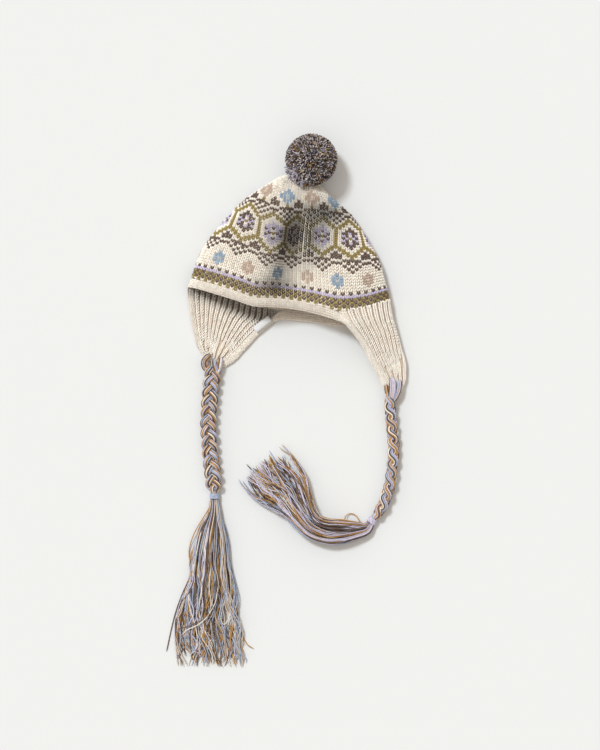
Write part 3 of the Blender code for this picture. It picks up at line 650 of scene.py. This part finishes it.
def stitch_tree():
    """Sets one stitch on each drawn point, turned to the point's own lie and sized to it."""
    tree, known = new_tree("stitches_on_points", [("Stitch", "NodeSocketObject"), ("Finish", "NodeSocketMaterial")])
    nodes, links = tree.nodes, tree.links
    given, result = nodes.new("NodeGroupInput"), nodes.new("NodeGroupOutput")
    points = nodes.new("GeometryNodeMeshToPoints")
    shape = nodes.new("GeometryNodeObjectInfo")
    turned = nodes.new("FunctionNodeAxesToRotation")
    turned.primary_axis, turned.secondary_axis = "Z", "X"
    setting = nodes.new("GeometryNodeInstanceOnPoints")
    real = nodes.new("GeometryNodeRealizeInstances")
    soften = nodes.new("GeometryNodeSetShadeSmooth")
    finish = nodes.new("GeometryNodeSetMaterial")
    links.new(given.outputs["Drawn"], points.inputs["Mesh"])
    links.new(given.outputs["Stitch"], shape.inputs["Object"])
    links.new(named_value(tree, "facing", "FLOAT_VECTOR"), turned.inputs["Primary Axis"])
    links.new(named_value(tree, "across", "FLOAT_VECTOR"), turned.inputs["Secondary Axis"])
    links.new(points.outputs["Points"], setting.inputs["Points"])
    links.new(shape.outputs["Geometry"], setting.inputs["Instance"])
    links.new(turned.outputs["Rotation"], setting.inputs["Rotation"])
    links.new(named_value(tree, "size", "FLOAT_VECTOR"), setting.inputs["Scale"])
    links.new(setting.outputs["Instances"], real.inputs["Geometry"])
    links.new(real.outputs["Geometry"], soften.inputs["Geometry"])
    links.new(soften.outputs["Geometry"], finish.inputs["Geometry"])
    links.new(given.outputs["Finish"], finish.inputs["Material"])
    links.new(finish.outputs["Geometry"], result.inputs["Made"])
    return tree, known


def knit(name, surface, a, b, size, tints, finish, sunk, stitch, seed=3):
    """A piece of stitches at places (a, b) on a surface, sunk into it, with a hand knitter's unevenness."""
    chance = np.random.default_rng(seed)
    count = len(a)
    here, across, facing, _ = lie_of(surface, a, b)
    sunk = np.broadcast_to(sunk, count) + chance.normal(0, 0.00010, count)
    here = here - facing * sunk[:, None] + across * chance.normal(0, 0.00012, count)[:, None]
    across = across + facing * chance.normal(0, 0.06, count)[:, None]
    size = np.array(size) * chance.normal(1, 0.045, (count, 3))
    tints = np.array(tints) * chance.normal(1, 0.05, (count, 1))
    tree, known = stitch_tree()
    drawn = drawn_points(
        name, here, [], vectors=[("facing", facing), ("across", across), ("size", size)], tints=np.clip(tints, 0, 1)
    )
    return grow(name, drawn, tree, {known["Stitch"]: stitch, known["Finish"]: finish})


def backing(name, surface, a_places, b_places, face_depth, back_depth, colour, finish, closed=False):
    """The wall behind a knitted face: it follows the face's surface between two depths below it."""
    a_grid, b_grid = np.meshgrid(a_places, b_places)
    here, _, facing, _ = lie_of(surface, a_grid, b_grid)
    mesh = bmesh.new()
    outer = [[mesh.verts.new(p) for p in row] for row in here - facing * face_depth]
    inner = [[mesh.verts.new(p) for p in row] for row in here - facing * back_depth]
    rows, count = len(b_places), len(a_places)
    spans = range(count if closed else count - 1)
    for i in range(rows - 1):
        for j in spans:
            k = (j + 1) % count
            mesh.faces.new((outer[i][j], outer[i][k], outer[i + 1][k], outer[i + 1][j]))
            mesh.faces.new((inner[i][k], inner[i][j], inner[i + 1][j], inner[i + 1][k]))
    for j in spans:
        k = (j + 1) % count
        mesh.faces.new((outer[0][k], outer[0][j], inner[0][j], inner[0][k]))
        if not closed:
            mesh.faces.new((outer[-1][j], outer[-1][k], inner[-1][k], inner[-1][j]))
    if closed:
        mesh.faces.new(outer[-1])
        mesh.faces.new(inner[-1][::-1])
    else:
        for i in range(rows - 1):
            mesh.faces.new((outer[i][0], outer[i + 1][0], inner[i + 1][0], inner[i][0]))
            mesh.faces.new((outer[i + 1][-1], outer[i][-1], inner[i][-1], inner[i + 1][-1]))
    bmesh.ops.recalc_face_normals(mesh, faces=mesh.faces[:])
    for vert in mesh.verts:
        vert.co.z = max(vert.co.z, 0.0002)
    data = bpy.data.meshes.new(name)
    mesh.to_mesh(data)
    mesh.free()
    data.shade_smooth()
    data.set_sharp_from_angle(angle=math.radians(50))
    tints = np.ones((len(data.vertices), 4))
    tints[:, :3] = colour
    data.attributes.new("tint", "FLOAT_COLOR", "POINT").data.foreach_set("color", tints.ravel())
    data.materials.append(finish)
    made = bpy.data.objects.new(name, data)
    scene.collection.objects.link(made)
    return made


# Half of a pattern repeat, from a lozenge's middle to the bar beside it, round by round from the brim:
# o olive, b brown, l lilac, F flower, f a flower's heart, m and n the two colours of a lozenge.
CHART = (
    "o.o.o obobo bobob obobo lllll .b.b. ..... ....F ...FF ...Ff ...FF ....F b.... .b... b.b.. .b.bb bbb.. "
    "o..bb oo.bb .oo.b ..oo. m..oo mm..o nmm.o .mn.o onm.o .mn.o nmm.o mm..o m..oo ..oo. .oo.b oo.b. o.b.b "
    "bb.b. ..bbb bb..o bb..F b..FF ..FFf ..FFf ...FF ....F"
).split()
PATTERN_DYES = {
    ".": (248, 240, 228), "o": (156, 136, 76), "b": (104, 84, 74), "l": (208, 198, 226),
    "blue": (156, 178, 200), "tan": (203, 179, 162),
}
STITCHES, ROUNDS, REPEAT = 112, 52, 8
FRONT_MIDDLE, FIRST_BAR = 26.8, 7
# How many of a round's stitches the front holds, from brim to apex
FRONT_ROWS = (0.0, 0.15, 0.46, 0.69, 0.75, 0.88, 1.0)
FRONT_STITCHES = (54, 54, 48, 39, 32, 24, 16)
NARROWEST = 0.0026
BODY_SUNK = 0.0009
# Painted shade darkens the front's stitches where the front is pushed in: place, reach and share of each patch
DENT_PAINTED_SHADE = (
    (0.0010, 0.0270, 0.033, 0.029, 0.88), (0.0290, 0.0520, 0.027, 0.014, 0.82), (-0.0236, -0.0270, 0.022, 0.011, 0.74),
    (-0.0190, -0.0090, 0.014, 0.014, 0.46), (0.0100, 0.0330, 0.008, 0.024, 0.50),
)


def chart_dye(stitch, round_):
    """The colour of one stitch of one round."""
    if round_ >= len(CHART):
        return PATTERN_DYES["."]
    place = (stitch - FIRST_BAR + REPEAT // 2) % REPEAT
    mark = CHART[round_][place if place <= REPEAT // 2 else REPEAT - place]
    bar = (stitch - FIRST_BAR + REPEAT // 2) // REPEAT
    if mark in "Ff":
        flower = PATTERN_DYES["blue" if bar % 2 == 0 else "tan"]
        return flower if mark == "F" else [(a + b) / 2 for a, b in zip(flower, PATTERN_DYES["."])]
    lozenge = (stitch - FIRST_BAR + REPEAT) // REPEAT
    if mark in "mn":
        return PATTERN_DYES["l" if (mark == "m") == (lozenge % 2 == 0) else "b"]
    return PATTERN_DYES[mark]


def crown_rounds():
    """Place, size and colour of every stitch of the crown, on its front and on its back."""
    found = {True: [], False: []}
    turns = {True: np.linspace(0, 0.5, 121), False: np.linspace(0.5, 1.0, 121)}
    for round_ in range(ROUNDS):
        row = (round_ - 0.5) / ROUNDS
        runs = {
            side: np.concatenate([[0], np.cumsum(np.linalg.norm(np.diff(crown_point(t, row), axis=0), axis=1))])
            for side, t in turns.items()
        }
        held = float(smooth(FRONT_ROWS, FRONT_STITCHES, row))
        around = []
        for stitch in range(STITCHES):
            share = (stitch + 0.2 - FRONT_MIDDLE) / held + 0.5
            front = 0 <= share <= 1
            if not front:
                past = (share - 1) * held if share > 1 else share * held + STITCHES - held
                share = past / (STITCHES - held)
            run = share * runs[front][-1]
            turn = float(np.interp(run, runs[front], turns[front]))
            around.append((run if front else runs[True][-1] + run, turn, front, stitch))
        around.sort()
        kept = []
        for one in around:
            if not kept or one[0] - kept[-1][0] > NARROWEST:
                kept.append(one)
        whole = runs[True][-1] + runs[False][-1]
        for i, (run, turn, front, stitch) in enumerate(kept):
            before, after = kept[i - 1][0], kept[(i + 1) % len(kept)][0]
            wide = ((after - before) % whole) / 2
            found[front].append((turn, row, min(wide, 0.0056), *dye(chart_dye(stitch, round_))))
    return {side: np.array(rows) for side, rows in found.items()}


crown_wool = wool("crown_wool", 0.95, 1700.0, 0.0003, 0.13)
knit_stitch = stitch_shape()
for front, places in crown_rounds().items():
    turn, row, wide = places[:, 0], places[:, 1], places[:, 2]
    high = np.clip(lie_of(crown_point, turn, row)[3] / ROUNDS, 0.0016, 0.0034)
    deep = np.full(len(turn), 0.0019)
    tints = places[:, 3:]
    if front:
        # Painted shade: the front's stitches in and around the dent get darker tints, patch by patch
        at = crown_point(turn, row)
        for x, y, reach_x, reach_y, share in DENT_PAINTED_SHADE:
            near = np.exp(-((at[:, 0] - x) / reach_x) ** 2 - ((at[:, 1] - y) / reach_y) ** 2)
            tints = tints * (1 - share * near)[:, None]
    knitted = knit(
        "crown_front_knit" if front else "crown_back_knit", crown_point, turn, row,
        np.stack([wide, high, deep], axis=1), tints, crown_wool, BODY_SUNK, knit_stitch,
    )
    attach(knitted, "root")
    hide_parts("crown")
crown_inside = backing(
    "crown_inside", crown_point, np.arange(128) / 128, np.linspace(-0.018, 0.965, 57), 0.0016, 0.0038,
    dye((222, 210, 192)), crown_wool, closed=True,
)
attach(crown_inside, "root")
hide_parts("crown")

# A plain band of fine knit finishes the brim in front and at the nape. It is rolled a little, so its
# lower edge turns away into the shade.
EDGING_WIDTH, EDGING_FLARE, EDGING_DROP, EDGING_WALL = 0.012, 0.025, 0.006, 0.005
CREAM_DYE = dye((250, 242, 231))


def edging_point(turn, down, seam=SEAM):
    """Outer face of the band below the crown's first row; down goes from 0 at the crown to 1."""
    turn, down = np.broadcast_arrays(np.asarray(turn, float), np.asarray(down, float))
    front = np.maximum(0.0, np.sin(math.tau * turn))
    axis = np.array([-math.sin(AXIS_TURN), math.cos(AXIS_TURN), 0.0])
    aside = np.array([math.cos(AXIS_TURN), math.sin(AXIS_TURN), 0.0])
    start = crown_point(turn % 1, np.zeros_like(down))
    flare = EDGING_FLARE * down * FLAT_WIDTH / 2 * -np.cos(math.tau * turn) * front
    sink = EDGING_DROP * down * down * front
    return start - axis * (seam + EDGING_WIDTH * down)[..., None] + aside * flare[..., None] - np.stack(
        [0 * sink, 0 * sink, sink], axis=-1
    )


def bent(edge_low, edge_high, roll):
    """A rolled band between two edges, given as matching points, with its corners rounded off."""
    window, tuck = 9, 0.0015
    edge_low, edge_high = np.array(edge_low), np.array(edge_high)
    middle = (edge_low + edge_high) / 2
    run = np.concatenate([[0], np.cumsum(np.linalg.norm(np.diff(middle, axis=0), axis=1))])
    even = np.linspace(0, 1, 161)
    rounded = []
    for edge in (edge_low, edge_high):
        dense = np.stack([np.interp(even * run[-1], run, edge[:, k]) for k in range(3)], axis=1)
        padded = np.concatenate([[dense[0]] * (window // 2), dense, [dense[-1]] * (window // 2)])
        rounded.append(np.stack([np.convolve(padded[:, k], np.ones(window) / window, "valid") for k in range(3)], axis=1))

    def surface(a, b):
        a, b = np.broadcast_arrays(np.asarray(a, float), np.asarray(b, float))
        low, high = (np.stack([np.interp(a, even, edge[:, k]) for k in range(3)], axis=-1) for edge in rounded)
        height = roll * np.sin(math.pi * np.clip(b, 0, 1)) - tuck * np.clip(1 - b / 0.3, 0, 1) ** 2
        return low + (high - low) * b[..., None] + np.stack([0 * height, 0 * height, height], axis=-1)

    return surface


def even_places(surface, wide, tall):
    """Places for rows of stitches of one width and height all over a surface, with their true sizes."""
    length = np.mean(lie_of(surface, np.linspace(0.1, 0.9, 9), np.full(9, 0.5))[3])
    rows = max(2, round(length / tall))
    a_all, b_all, sizes = [], [], []
    across = np.linspace(0, 1, 161)
    for row in range(rows):
        b = (row + 0.5) / rows
        run = np.concatenate([[0], np.cumsum(np.linalg.norm(np.diff(surface(across, b), axis=0), axis=1))])
        count = max(1, round(run[-1] / wide))
        at = (np.arange(count) + 0.5) / count * run[-1]
        a_all.append(np.interp(at, run, across))
        b_all.append(np.full(count, b))
        sizes.append(np.tile([run[-1] / count, length / rows, 0.0014], (count, 1)))
    return np.concatenate(a_all), np.concatenate(b_all), np.concatenate(sizes)


# Two flaps knitted in wide ribs that run together towards their tips. The plain band of the brim runs on
# along their edges. The left one shows its inner side; the right one is folded round the hat's side.
FLAP_LENGTH, RIB_WALL, TIP_WALL, TIP_FOLD = 0.092, 0.0045, 0.0034, 0.5
LEFT_TURNS, RIGHT_TURNS = (0.985, 0.769), (0.333, 0.6415)
LEFT_FLAP = np.array((
    (0.00, 0.000, 0.000, 0.000, 0.000), (0.13, -0.036, -0.148, -0.012, -0.143), (0.28, -0.018, -0.302, -0.130, -0.244),
    (0.45, -0.006, -0.481, -0.255, -0.369), (0.62, 0.020, -0.648, -0.367, -0.494), (0.80, 0.056, -0.814, -0.492, -0.625),
    (0.90, 0.115, -0.905, -0.569, -0.679), (1.00, 0.156, -0.994, -0.640, -0.706),
))
RIGHT_FLAP = np.array((
    (0.00, 0.000, 0.000, 0.000, 0.000, 0.000, 0.000, 1.00), (0.12, 0.085, -0.135, 0.029, -0.119, 0.158, -0.119, 0.93),
    (0.22, 0.170, -0.208, 0.068, -0.226, 0.316, -0.226, 0.82), (0.35, 0.313, -0.310, 0.146, -0.393, 0.526, -0.393, 0.64),
    (0.50, 0.459, -0.440, 0.234, -0.595, 0.789, -0.571, 0.45), (0.70, 0.654, -0.667, 0.313, -0.786, 1.079, -0.762, 0.28),
    (0.85, 0.791, -0.821, 0.322, -0.940, 1.211, -0.881, 0.18), (1.00, 0.898, -0.958, 0.234, -1.083, 1.224, -0.994, 0.13),
))


def moved(start, table, column, width, down):
    """An edge point that has moved from its start at the brim as its table says."""
    x = start[0] + width * smooth(table[:, 0], table[:, column], down)
    y = start[1] + FLAP_LENGTH * smooth(table[:, 0], table[:, column + 1], down)
    return np.stack([x, y, np.full(np.shape(down), start[2])], axis=-1)


def left_flap(a, b):
    """The left flap's upper face, from its outer to its inner edge and from its tip up to the brim."""
    a, b = np.broadcast_arrays(np.asarray(a, float), np.asarray(b, float))
    down = 1 - b
    first, last = edging_point(LEFT_TURNS[0], 0.0), edging_point(LEFT_TURNS[1], 0.0)
    width = last[0] - first[0]
    outer, inner = moved(first, LEFT_FLAP, 1, width, down), moved(last, LEFT_FLAP, 3, width, down)
    on_brim = edging_point(LEFT_TURNS[0] + (LEFT_TURNS[1] - LEFT_TURNS[0]) * a, 0.0 * a)
    straight = first + (last - first) * a[..., None]
    point = outer + (inner - outer) * a[..., None] + (on_brim - straight) * (np.clip(b, 0, 1) ** 2)[..., None]
    point[..., 0] += 0.005 * np.clip((b - 0.72) / 0.28, 0, 1) ** 2 * (1 - a)
    point[..., 2] = on_brim[..., 2] * np.clip(b, 0, 1) ** 2 + RIB_WALL
    return point


def right_flap(a, b):
    """The right flap's outer face, from its inner edge over the fold to its lower edge, tip to brim."""
    a, b = np.broadcast_arrays(np.asarray(a, float), np.asarray(b, float))
    down = 1 - b
    first, fold, last = (edging_point(turn, 0.0) for turn in (RIGHT_TURNS[0], 0.5, RIGHT_TURNS[1]))
    top_width, under_width = fold[0] - first[0], fold[0] - last[0]
    edge, outside = moved(first, RIGHT_FLAP, 1, top_width, down), moved(fold, RIGHT_FLAP, 3, top_width, down)
    under = moved(last, RIGHT_FLAP, 5, under_width, down)
    turn = RIGHT_TURNS[0] + (RIGHT_TURNS[1] - RIGHT_TURNS[0]) * a
    on_brim = edging_point(turn, 0.0 * a)
    on_top = (turn <= 0.5)[..., None]
    share = np.where(on_top, (on_brim[..., :1] - first[0]) / top_width, (fold[0] - on_brim[..., :1]) / under_width)
    point = np.where(on_top, edge + (outside - edge) * share, outside + (under - outside) * share)
    straight = np.where(on_top, first + (fold - first) * share, fold + (last - fold) * share)
    height = np.where(
        turn <= 0.5,
        fold[2] * (1 - TIP_FOLD * down) + (on_brim[..., 2] - fold[2]) * smooth(RIGHT_FLAP[:, 0], RIGHT_FLAP[:, 7], down),
        on_brim[..., 2] * (1 - TIP_FOLD * down),
    )
    point = point + (on_brim - straight) * (np.clip(b, 0, 1) ** 2)[..., None]
    point[..., 2] = np.maximum(0.0, height)
    return point


def inwards(surface, a, b, width):
    """The place on a surface that lies a width in from its edge at a, at the height b."""
    across = np.linspace(a, 1 - a, 121)
    run = np.concatenate([[0], np.cumsum(np.linalg.norm(np.diff(surface(across, b), axis=0), axis=1))])
    return surface(np.interp(width, run, across), b)


def rib_places(surface, ribs, bands, rib_wide, low, high):
    """Places of a flap's stitches: plain columns along its edges and ribs between, of which every other
    one ends part of the way down, where the flap has grown too narrow for it."""
    a_all, b_all, sizes, sunk = [], [], [], []
    across = np.linspace(0, 1, 161)
    length = np.mean(lie_of(surface, np.linspace(0.2, 0.8, 7), np.full(7, 0.5))[3])
    rows = round((high - low) * length / 0.0027)
    for row in range(rows):
        b = low + (high - low) * (row + 0.5) / rows
        run = np.concatenate([[0], np.cumsum(np.linalg.norm(np.diff(surface(across, b), axis=0), axis=1))])
        at = []
        for k in range(3):
            at.append((bands[0] * (k + 0.5) / 3, bands[0] / 3, 0.0006))
            at.append((run[-1] - bands[1] * (k + 0.5) / 3, bands[1] / 3, 0.0006))
        step = (run[-1] - bands[0] - bands[1]) / ribs
        for rib in range(ribs):
            end = 0.18 + 0.26 * ((rib * 7) % 5) / 5
            if rib % 2 and b < end:
                continue
            fade = 1.0 if rib % 2 == 0 else min(1.0, (b - end) / 0.08)
            own = min(rib_wide, step * (0.84 if b > 0.45 else 0.84 + 0.9 * (0.45 - b) / 0.45))
            at.append((bands[0] + (rib + 0.5) * step, own * (0.55 + 0.45 * fade), -0.0008 * fade))
        for place, wide, deep in at:
            if 0 < place < run[-1] and wide > 0.0012:
                a_all.append(np.interp(place, run, across))
                b_all.append(b)
                sizes.append((wide, 1.2 * (high - low) * length / rows, 0.0020))
                sunk.append(deep)
    return np.array(a_all), np.array(b_all), np.array(sizes), np.array(sunk)


BORDER = 0.0088
# How much painted shade darkens the left flap's ribs where the brim lies over them inside the mouth
UNDER_BRIM_PAINTED_SHADE = 0.50
rib_wool = wool("rib_wool", 0.95, 1700.0, 0.0003, 0.10)
def brim_painted_shade(b, most):
    """How much painted shade darkens a flap's knit at the height b, where the brim lies over it."""
    return most * smooth((0.0, 0.72, 0.88, 1.0), (0.0, 0.0, 1.0, 1.0), b)


for name, surface, ribs, bands, rib_wide, depths, most in (
    ("ear_flap_left", left_flap, 13, (0.0055, BORDER), 0.0050, (0.0021, 0.0043), UNDER_BRIM_PAINTED_SHADE),
    ("ear_flap_right", right_flap, 14, (BORDER, 0.0080), 0.0064, (0.0018, 0.0032), 0.0),
):
    a, b, sizes, sunk = rib_places(surface, ribs, bands, rib_wide, 0.01, 1.0)
    # Painted shade: the ribs' tints darken towards the brim
    tints = CREAM_DYE * (1 - brim_painted_shade(b, most))[:, None]
    knitted = knit(f"{name}_ribs", surface, a, b, sizes, tints, rib_wool, sunk + 0.0009, knit_stitch)
    wall = backing(
        f"{name}_wall", surface, np.linspace(0, 1, 80), np.linspace(0, 1, 40), *depths, dye((222, 203, 182)), rib_wool
    )
    # Painted shade: the wall behind the ribs darkens towards the brim, half as much again as the ribs
    darker = np.repeat(1 - brim_painted_shade(np.linspace(0, 1, 40), 1.5 * most), 80)
    tints = np.ones((len(wall.data.vertices), 4))
    tints[:, :3] = dye((222, 203, 182)) * np.tile(darker, 2)[:, None]
    wall.data.attributes["tint"].data.foreach_set("color", tints.ravel())
    for piece in (knitted, wall):
        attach(piece, "root")
        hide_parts(name)

# The front band starts at the left fold, follows the brim and turns down along the right flap's edge. The
# nape band comes up along the left flap's inner edge and follows the brim behind the mouth.
NAPE_SEAM = 0.0009
turns = np.linspace(0.0, 0.318, 60)
flare = np.column_stack([-0.0045 * np.clip(1 - turns / 0.05, 0, 1) ** 2, 0 * turns, 0 * turns])
along_flap = np.linspace(0.84, 0.03, 26)
front_low = np.concatenate([edging_point(turns, 1.0) + flare, right_flap(0 * along_flap, along_flap)])
front_high = np.concatenate([
    edging_point(turns, 0.14 - 0.30 * np.clip((turns - 0.27) / 0.048, 0, 1)) + flare * 0.3,
    [inwards(right_flap, 0.0, b, BORDER) for b in along_flap],
])
nape_turns = np.linspace(0.757, 0.6445, 40)
raise_nape = np.array([0.0, 0.0, EDGING_WALL - 0.0006])
up_flap = np.linspace(0.03, 0.84, 26)
nape_low = np.concatenate([left_flap(1 + 0 * up_flap, up_flap), edging_point(nape_turns, 1.0, NAPE_SEAM) + raise_nape])
nape_high = np.concatenate([
    [inwards(left_flap, 1.0, b, BORDER) for b in up_flap],
    edging_point(nape_turns, 0.0, NAPE_SEAM) + raise_nape,
])
edging_wool = wool("edging_wool", 0.95, 1900.0, 0.0003, 0.08)
for name, low, high, on_flap, roll, node, flap in (
    ("front", front_low, front_high, 60, 0.0012, "front_edging", "ear_flap_right"),
    ("nape", nape_low, nape_high, 26, 0.0009, "back_edging", "ear_flap_left"),
):
    band = bent(low, high, roll=roll)
    middle = (low + high) / 2
    run = np.concatenate([[0], np.cumsum(np.linalg.norm(np.diff(middle, axis=0), axis=1))])
    split = run[on_flap] / run[-1]
    a, b, sizes = even_places(band, 0.0029, 0.0021)
    tints = np.tile(CREAM_DYE, (len(a), 1))
    brim = a < split if name == "front" else a > split
    for part, where, owner in (("brim", brim, node), ("flap", ~brim, flap)):
        knitted = knit(
            f"{name}_band_{part}", band, a[where], b[where], sizes[where], tints[where], edging_wool, 0.0005, knit_stitch
        )
        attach(knitted, "root")
        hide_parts(owner)
    wall = backing(
        f"{name}_band_wall", band, np.linspace(0, 1, 120), np.linspace(0, 1, 9), 0.0012, 0.0028, dye((226, 212, 196)),
        edging_wool,
    )
    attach(wall, "root")
    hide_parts(node)

# A small woven ribbon, folded over the left flap's plain band and sewn down at both ends. It is bare.
LABEL_LENGTH, LABEL_WIDTH, LABEL_TURN, LABEL_DOWN = 0.021, 0.0085, math.radians(38), 0.32
label_low, label_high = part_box("side_label")
label_middle = (np.array(label_low) + np.array(label_high)) / 2 + np.array([0.0026, 0.0040, 0.0])
label_along = np.array([math.cos(LABEL_TURN), math.sin(LABEL_TURN)])
label_in = np.array([-math.sin(LABEL_TURN), math.cos(LABEL_TURN)])
label_mesh = bmesh.new()
label_rows = []
for i, v in enumerate(np.linspace(-0.5, 0.5, 9)):
    row = []
    for u in np.linspace(-0.5, 0.5, 17):
        flat = label_middle[:2] + label_along * LABEL_LENGTH * u + label_in * LABEL_WIDTH * v
        lift = 0.0030 + 0.0009 * (1 - (2 * abs(v)) ** 3)
        lift += 0.0005 * math.cos(math.pi * u) + 0.0002 * math.sin(9 * u + 4 * v)
        if v < -0.3:
            lift -= 0.0034 * ((-0.3 - v) / 0.2) ** 1.5
        row.append(label_mesh.verts.new((*flat, label_low[2] + 0.0004 + lift)))
    label_rows.append(row)
for low_row, high_row in zip(label_rows, label_rows[1:]):
    for j in range(len(low_row) - 1):
        label_mesh.faces.new((low_row[j], low_row[j + 1], high_row[j + 1], high_row[j]))
label_data = bpy.data.meshes.new("side_label_ribbon")
label_mesh.to_mesh(label_data)
label_mesh.free()
label_data.shade_smooth()
ribbon = bpy.data.materials.new("woven_ribbon")
ribbon.use_nodes = True
ribbon_nodes, ribbon_links = ribbon.node_tree.nodes, ribbon.node_tree.links
ribbon_shader = ribbon_nodes["Principled BSDF"]
ribbon_shader.inputs["Roughness"].default_value = 0.6
ribbon_shader.inputs["Sheen Weight"].default_value = 0.2
ribbon_where = ribbon_nodes.new("ShaderNodeTexCoord")
ribbon_turn = ribbon_nodes.new("ShaderNodeMapping")
ribbon_turn.inputs["Rotation"].default_value = (0.0, 0.0, -LABEL_TURN)
ribbon_weave = ribbon_nodes.new("ShaderNodeTexWave")
ribbon_weave.inputs["Scale"].default_value = 520.0
ribbon_weave.inputs["Distortion"].default_value = 0.6
ribbon_shade = ribbon_nodes.new("ShaderNodeValToRGB")
ribbon_shade.color_ramp.elements[0].color = (0.66, 0.66, 0.67, 1.0)
ribbon_shade.color_ramp.elements[1].color = (0.80, 0.80, 0.80, 1.0)
ribbon_bump = ribbon_nodes.new("ShaderNodeBump")
ribbon_bump.inputs["Strength"].default_value = 0.35
ribbon_bump.inputs["Distance"].default_value = 0.0002
ribbon_links.new(ribbon_where.outputs["Object"], ribbon_turn.inputs["Vector"])
ribbon_links.new(ribbon_turn.outputs["Vector"], ribbon_weave.inputs["Vector"])
ribbon_links.new(ribbon_weave.outputs["Fac"], ribbon_shade.inputs["Fac"])
ribbon_links.new(ribbon_shade.outputs["Color"], ribbon_shader.inputs["Base Color"])
ribbon_links.new(ribbon_weave.outputs["Fac"], ribbon_bump.inputs["Height"])
ribbon_links.new(ribbon_bump.outputs["Normal"], ribbon_shader.inputs["Normal"])
label_data.materials.append(ribbon)
label = bpy.data.objects.new("side_label_ribbon", label_data)
scene.collection.objects.link(label)
thicken = label.modifiers.new("cloth", "SOLIDIFY")
thicken.thickness = 0.0005
thicken.offset = -1.0
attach(label, "root")
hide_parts("side_label")

# A ball of some thousands of cut yarn ends in all the hat's colours, mostly brown, tied at its middle
# and sewn to the crown's apex. Its lilac and cream ends show most at the lower left.
POMPOM_RADIUS, POMPOM_ENDS, POMPOM_YARN = 0.031, 6900, 0.00057
pompom_low, pompom_high = (np.array(corner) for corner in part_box("pompom"))
pompom_middle = np.array([
    (pompom_low[0] + pompom_high[0]) / 2 - 0.0026, pompom_high[1] - POMPOM_RADIUS - 0.0052, POMPOM_RADIUS - 0.001,
])
POMPOM_DYES = (
    [dye((52, 37, 29))] * 9 + [dye((98, 77, 63))] * 3 + [dye((212, 204, 218))] * 5 + [dye((164, 126, 72))] * 4
    + [dye((236, 222, 208))] * 3 + [dye((140, 146, 164))] * 2
)
SPILL = np.array([-0.66, -0.72, 0.12])
crown_grid = crown_point(*np.meshgrid(np.arange(72) / 72, np.linspace(0.4, 0.99, 30)))
crown_solid = BVHTree.FromPolygons(
    [Vector(p) for p in crown_grid.reshape(-1, 3)],
    [(i * 72 + j, i * 72 + (j + 1) % 72, i * 72 + 72 + (j + 1) % 72, i * 72 + 72 + j) for i in range(29) for j in range(72)],
)


def pompom_ends():
    """Lines of the yarn ends, from inside the ball to its clipped surface; the crown pushes them short."""
    chance = np.random.default_rng(5)
    lines, dyes = [], []
    for i in range(POMPOM_ENDS):
        height = 1 - 2 * (i + 0.5) / POMPOM_ENDS
        turn = i * math.pi * (3 - math.sqrt(5))
        ring = math.sqrt(1 - height * height)
        way = np.array([ring * math.cos(turn), ring * math.sin(turn), height]) + chance.normal(0, 0.11, 3)
        way /= np.linalg.norm(way)
        side = np.cross(way, chance.normal(0, 1, 3))
        side /= np.linalg.norm(side)
        spilled = way @ SPILL > 0.86
        reach = POMPOM_RADIUS * (chance.uniform(0.85, 0.93) + (0.12 * chance.random() if spilled else 0.0))
        struck = crown_solid.ray_cast(Vector(pompom_middle), Vector(way), reach + 0.001)
        if struck[3]:
            reach = max(0.5 * POMPOM_RADIUS, struck[3] - 0.0008)
        bend = chance.uniform(0.0002, 0.0032)
        steps = ((0.60, 0.0), (0.80, 0.12), (0.93, 0.5), (1.0, 1.0))
        lines.append(np.array([pompom_middle + way * reach * out + side * bend * aside for out, aside in steps]))
        pale = spilled and chance.random() < 0.6
        pick = chance.integers(12, 17) if pale else chance.integers(0, len(POMPOM_DYES))
        # Painted shade: patches of the ball's ends are darkened by up to 28%, standing in for the partings between its
        # clumps
        parting_shade = math.sin(9 * way[0] + 4 * way[2] + 1) * math.sin(8 * way[1] - 2)
        dyes.append(POMPOM_DYES[pick] * chance.uniform(0.75, 1.1) * (1 - 0.28 * max(0.0, parting_shade)))
    return lines, dyes


pompom_wool = wool("pompom_wool", 0.96, 1500.0, 0.0004, 0.18)
lines, dyes = pompom_ends()
cut_ends = POMPOM_YARN * np.array([1.0, 1.0, 1.05, 2.4])
pompom = lay_yarns("pompom_ends", lines, [cut_ends] * len(lines), dyes, pompom_wool, sides=4)
core_mesh = bmesh.new()
bmesh.ops.create_icosphere(core_mesh, subdivisions=4, radius=POMPOM_RADIUS * 0.66)
for vert in core_mesh.verts:
    lump = math.sin(vert.co.x * 900) * math.sin(vert.co.y * 800 + vert.co.z * 700)
    vert.co = Vector(pompom_middle) + vert.co * (1 + 0.04 * lump)
core_data = bpy.data.meshes.new("pompom_core")
core_mesh.to_mesh(core_data)
core_mesh.free()
core_data.shade_smooth()
# The core is dark brown: partly the ball's commonest yarn, partly painted shade of the depths between the ends
core_tints = np.ones((len(core_data.vertices), 4))
core_tints[:, :3] = dye((58, 44, 38))
core_data.attributes.new("tint", "FLOAT_COLOR", "POINT").data.foreach_set("color", core_tints.ravel())
core_data.materials.append(pompom_wool)
core = bpy.data.objects.new("pompom_core", core_data)
scene.collection.objects.link(core)
for piece in (pompom, core):
    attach(piece, "root")
    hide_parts("pompom")

bpy.data.objects.remove(knit_stitch)

low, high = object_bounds()
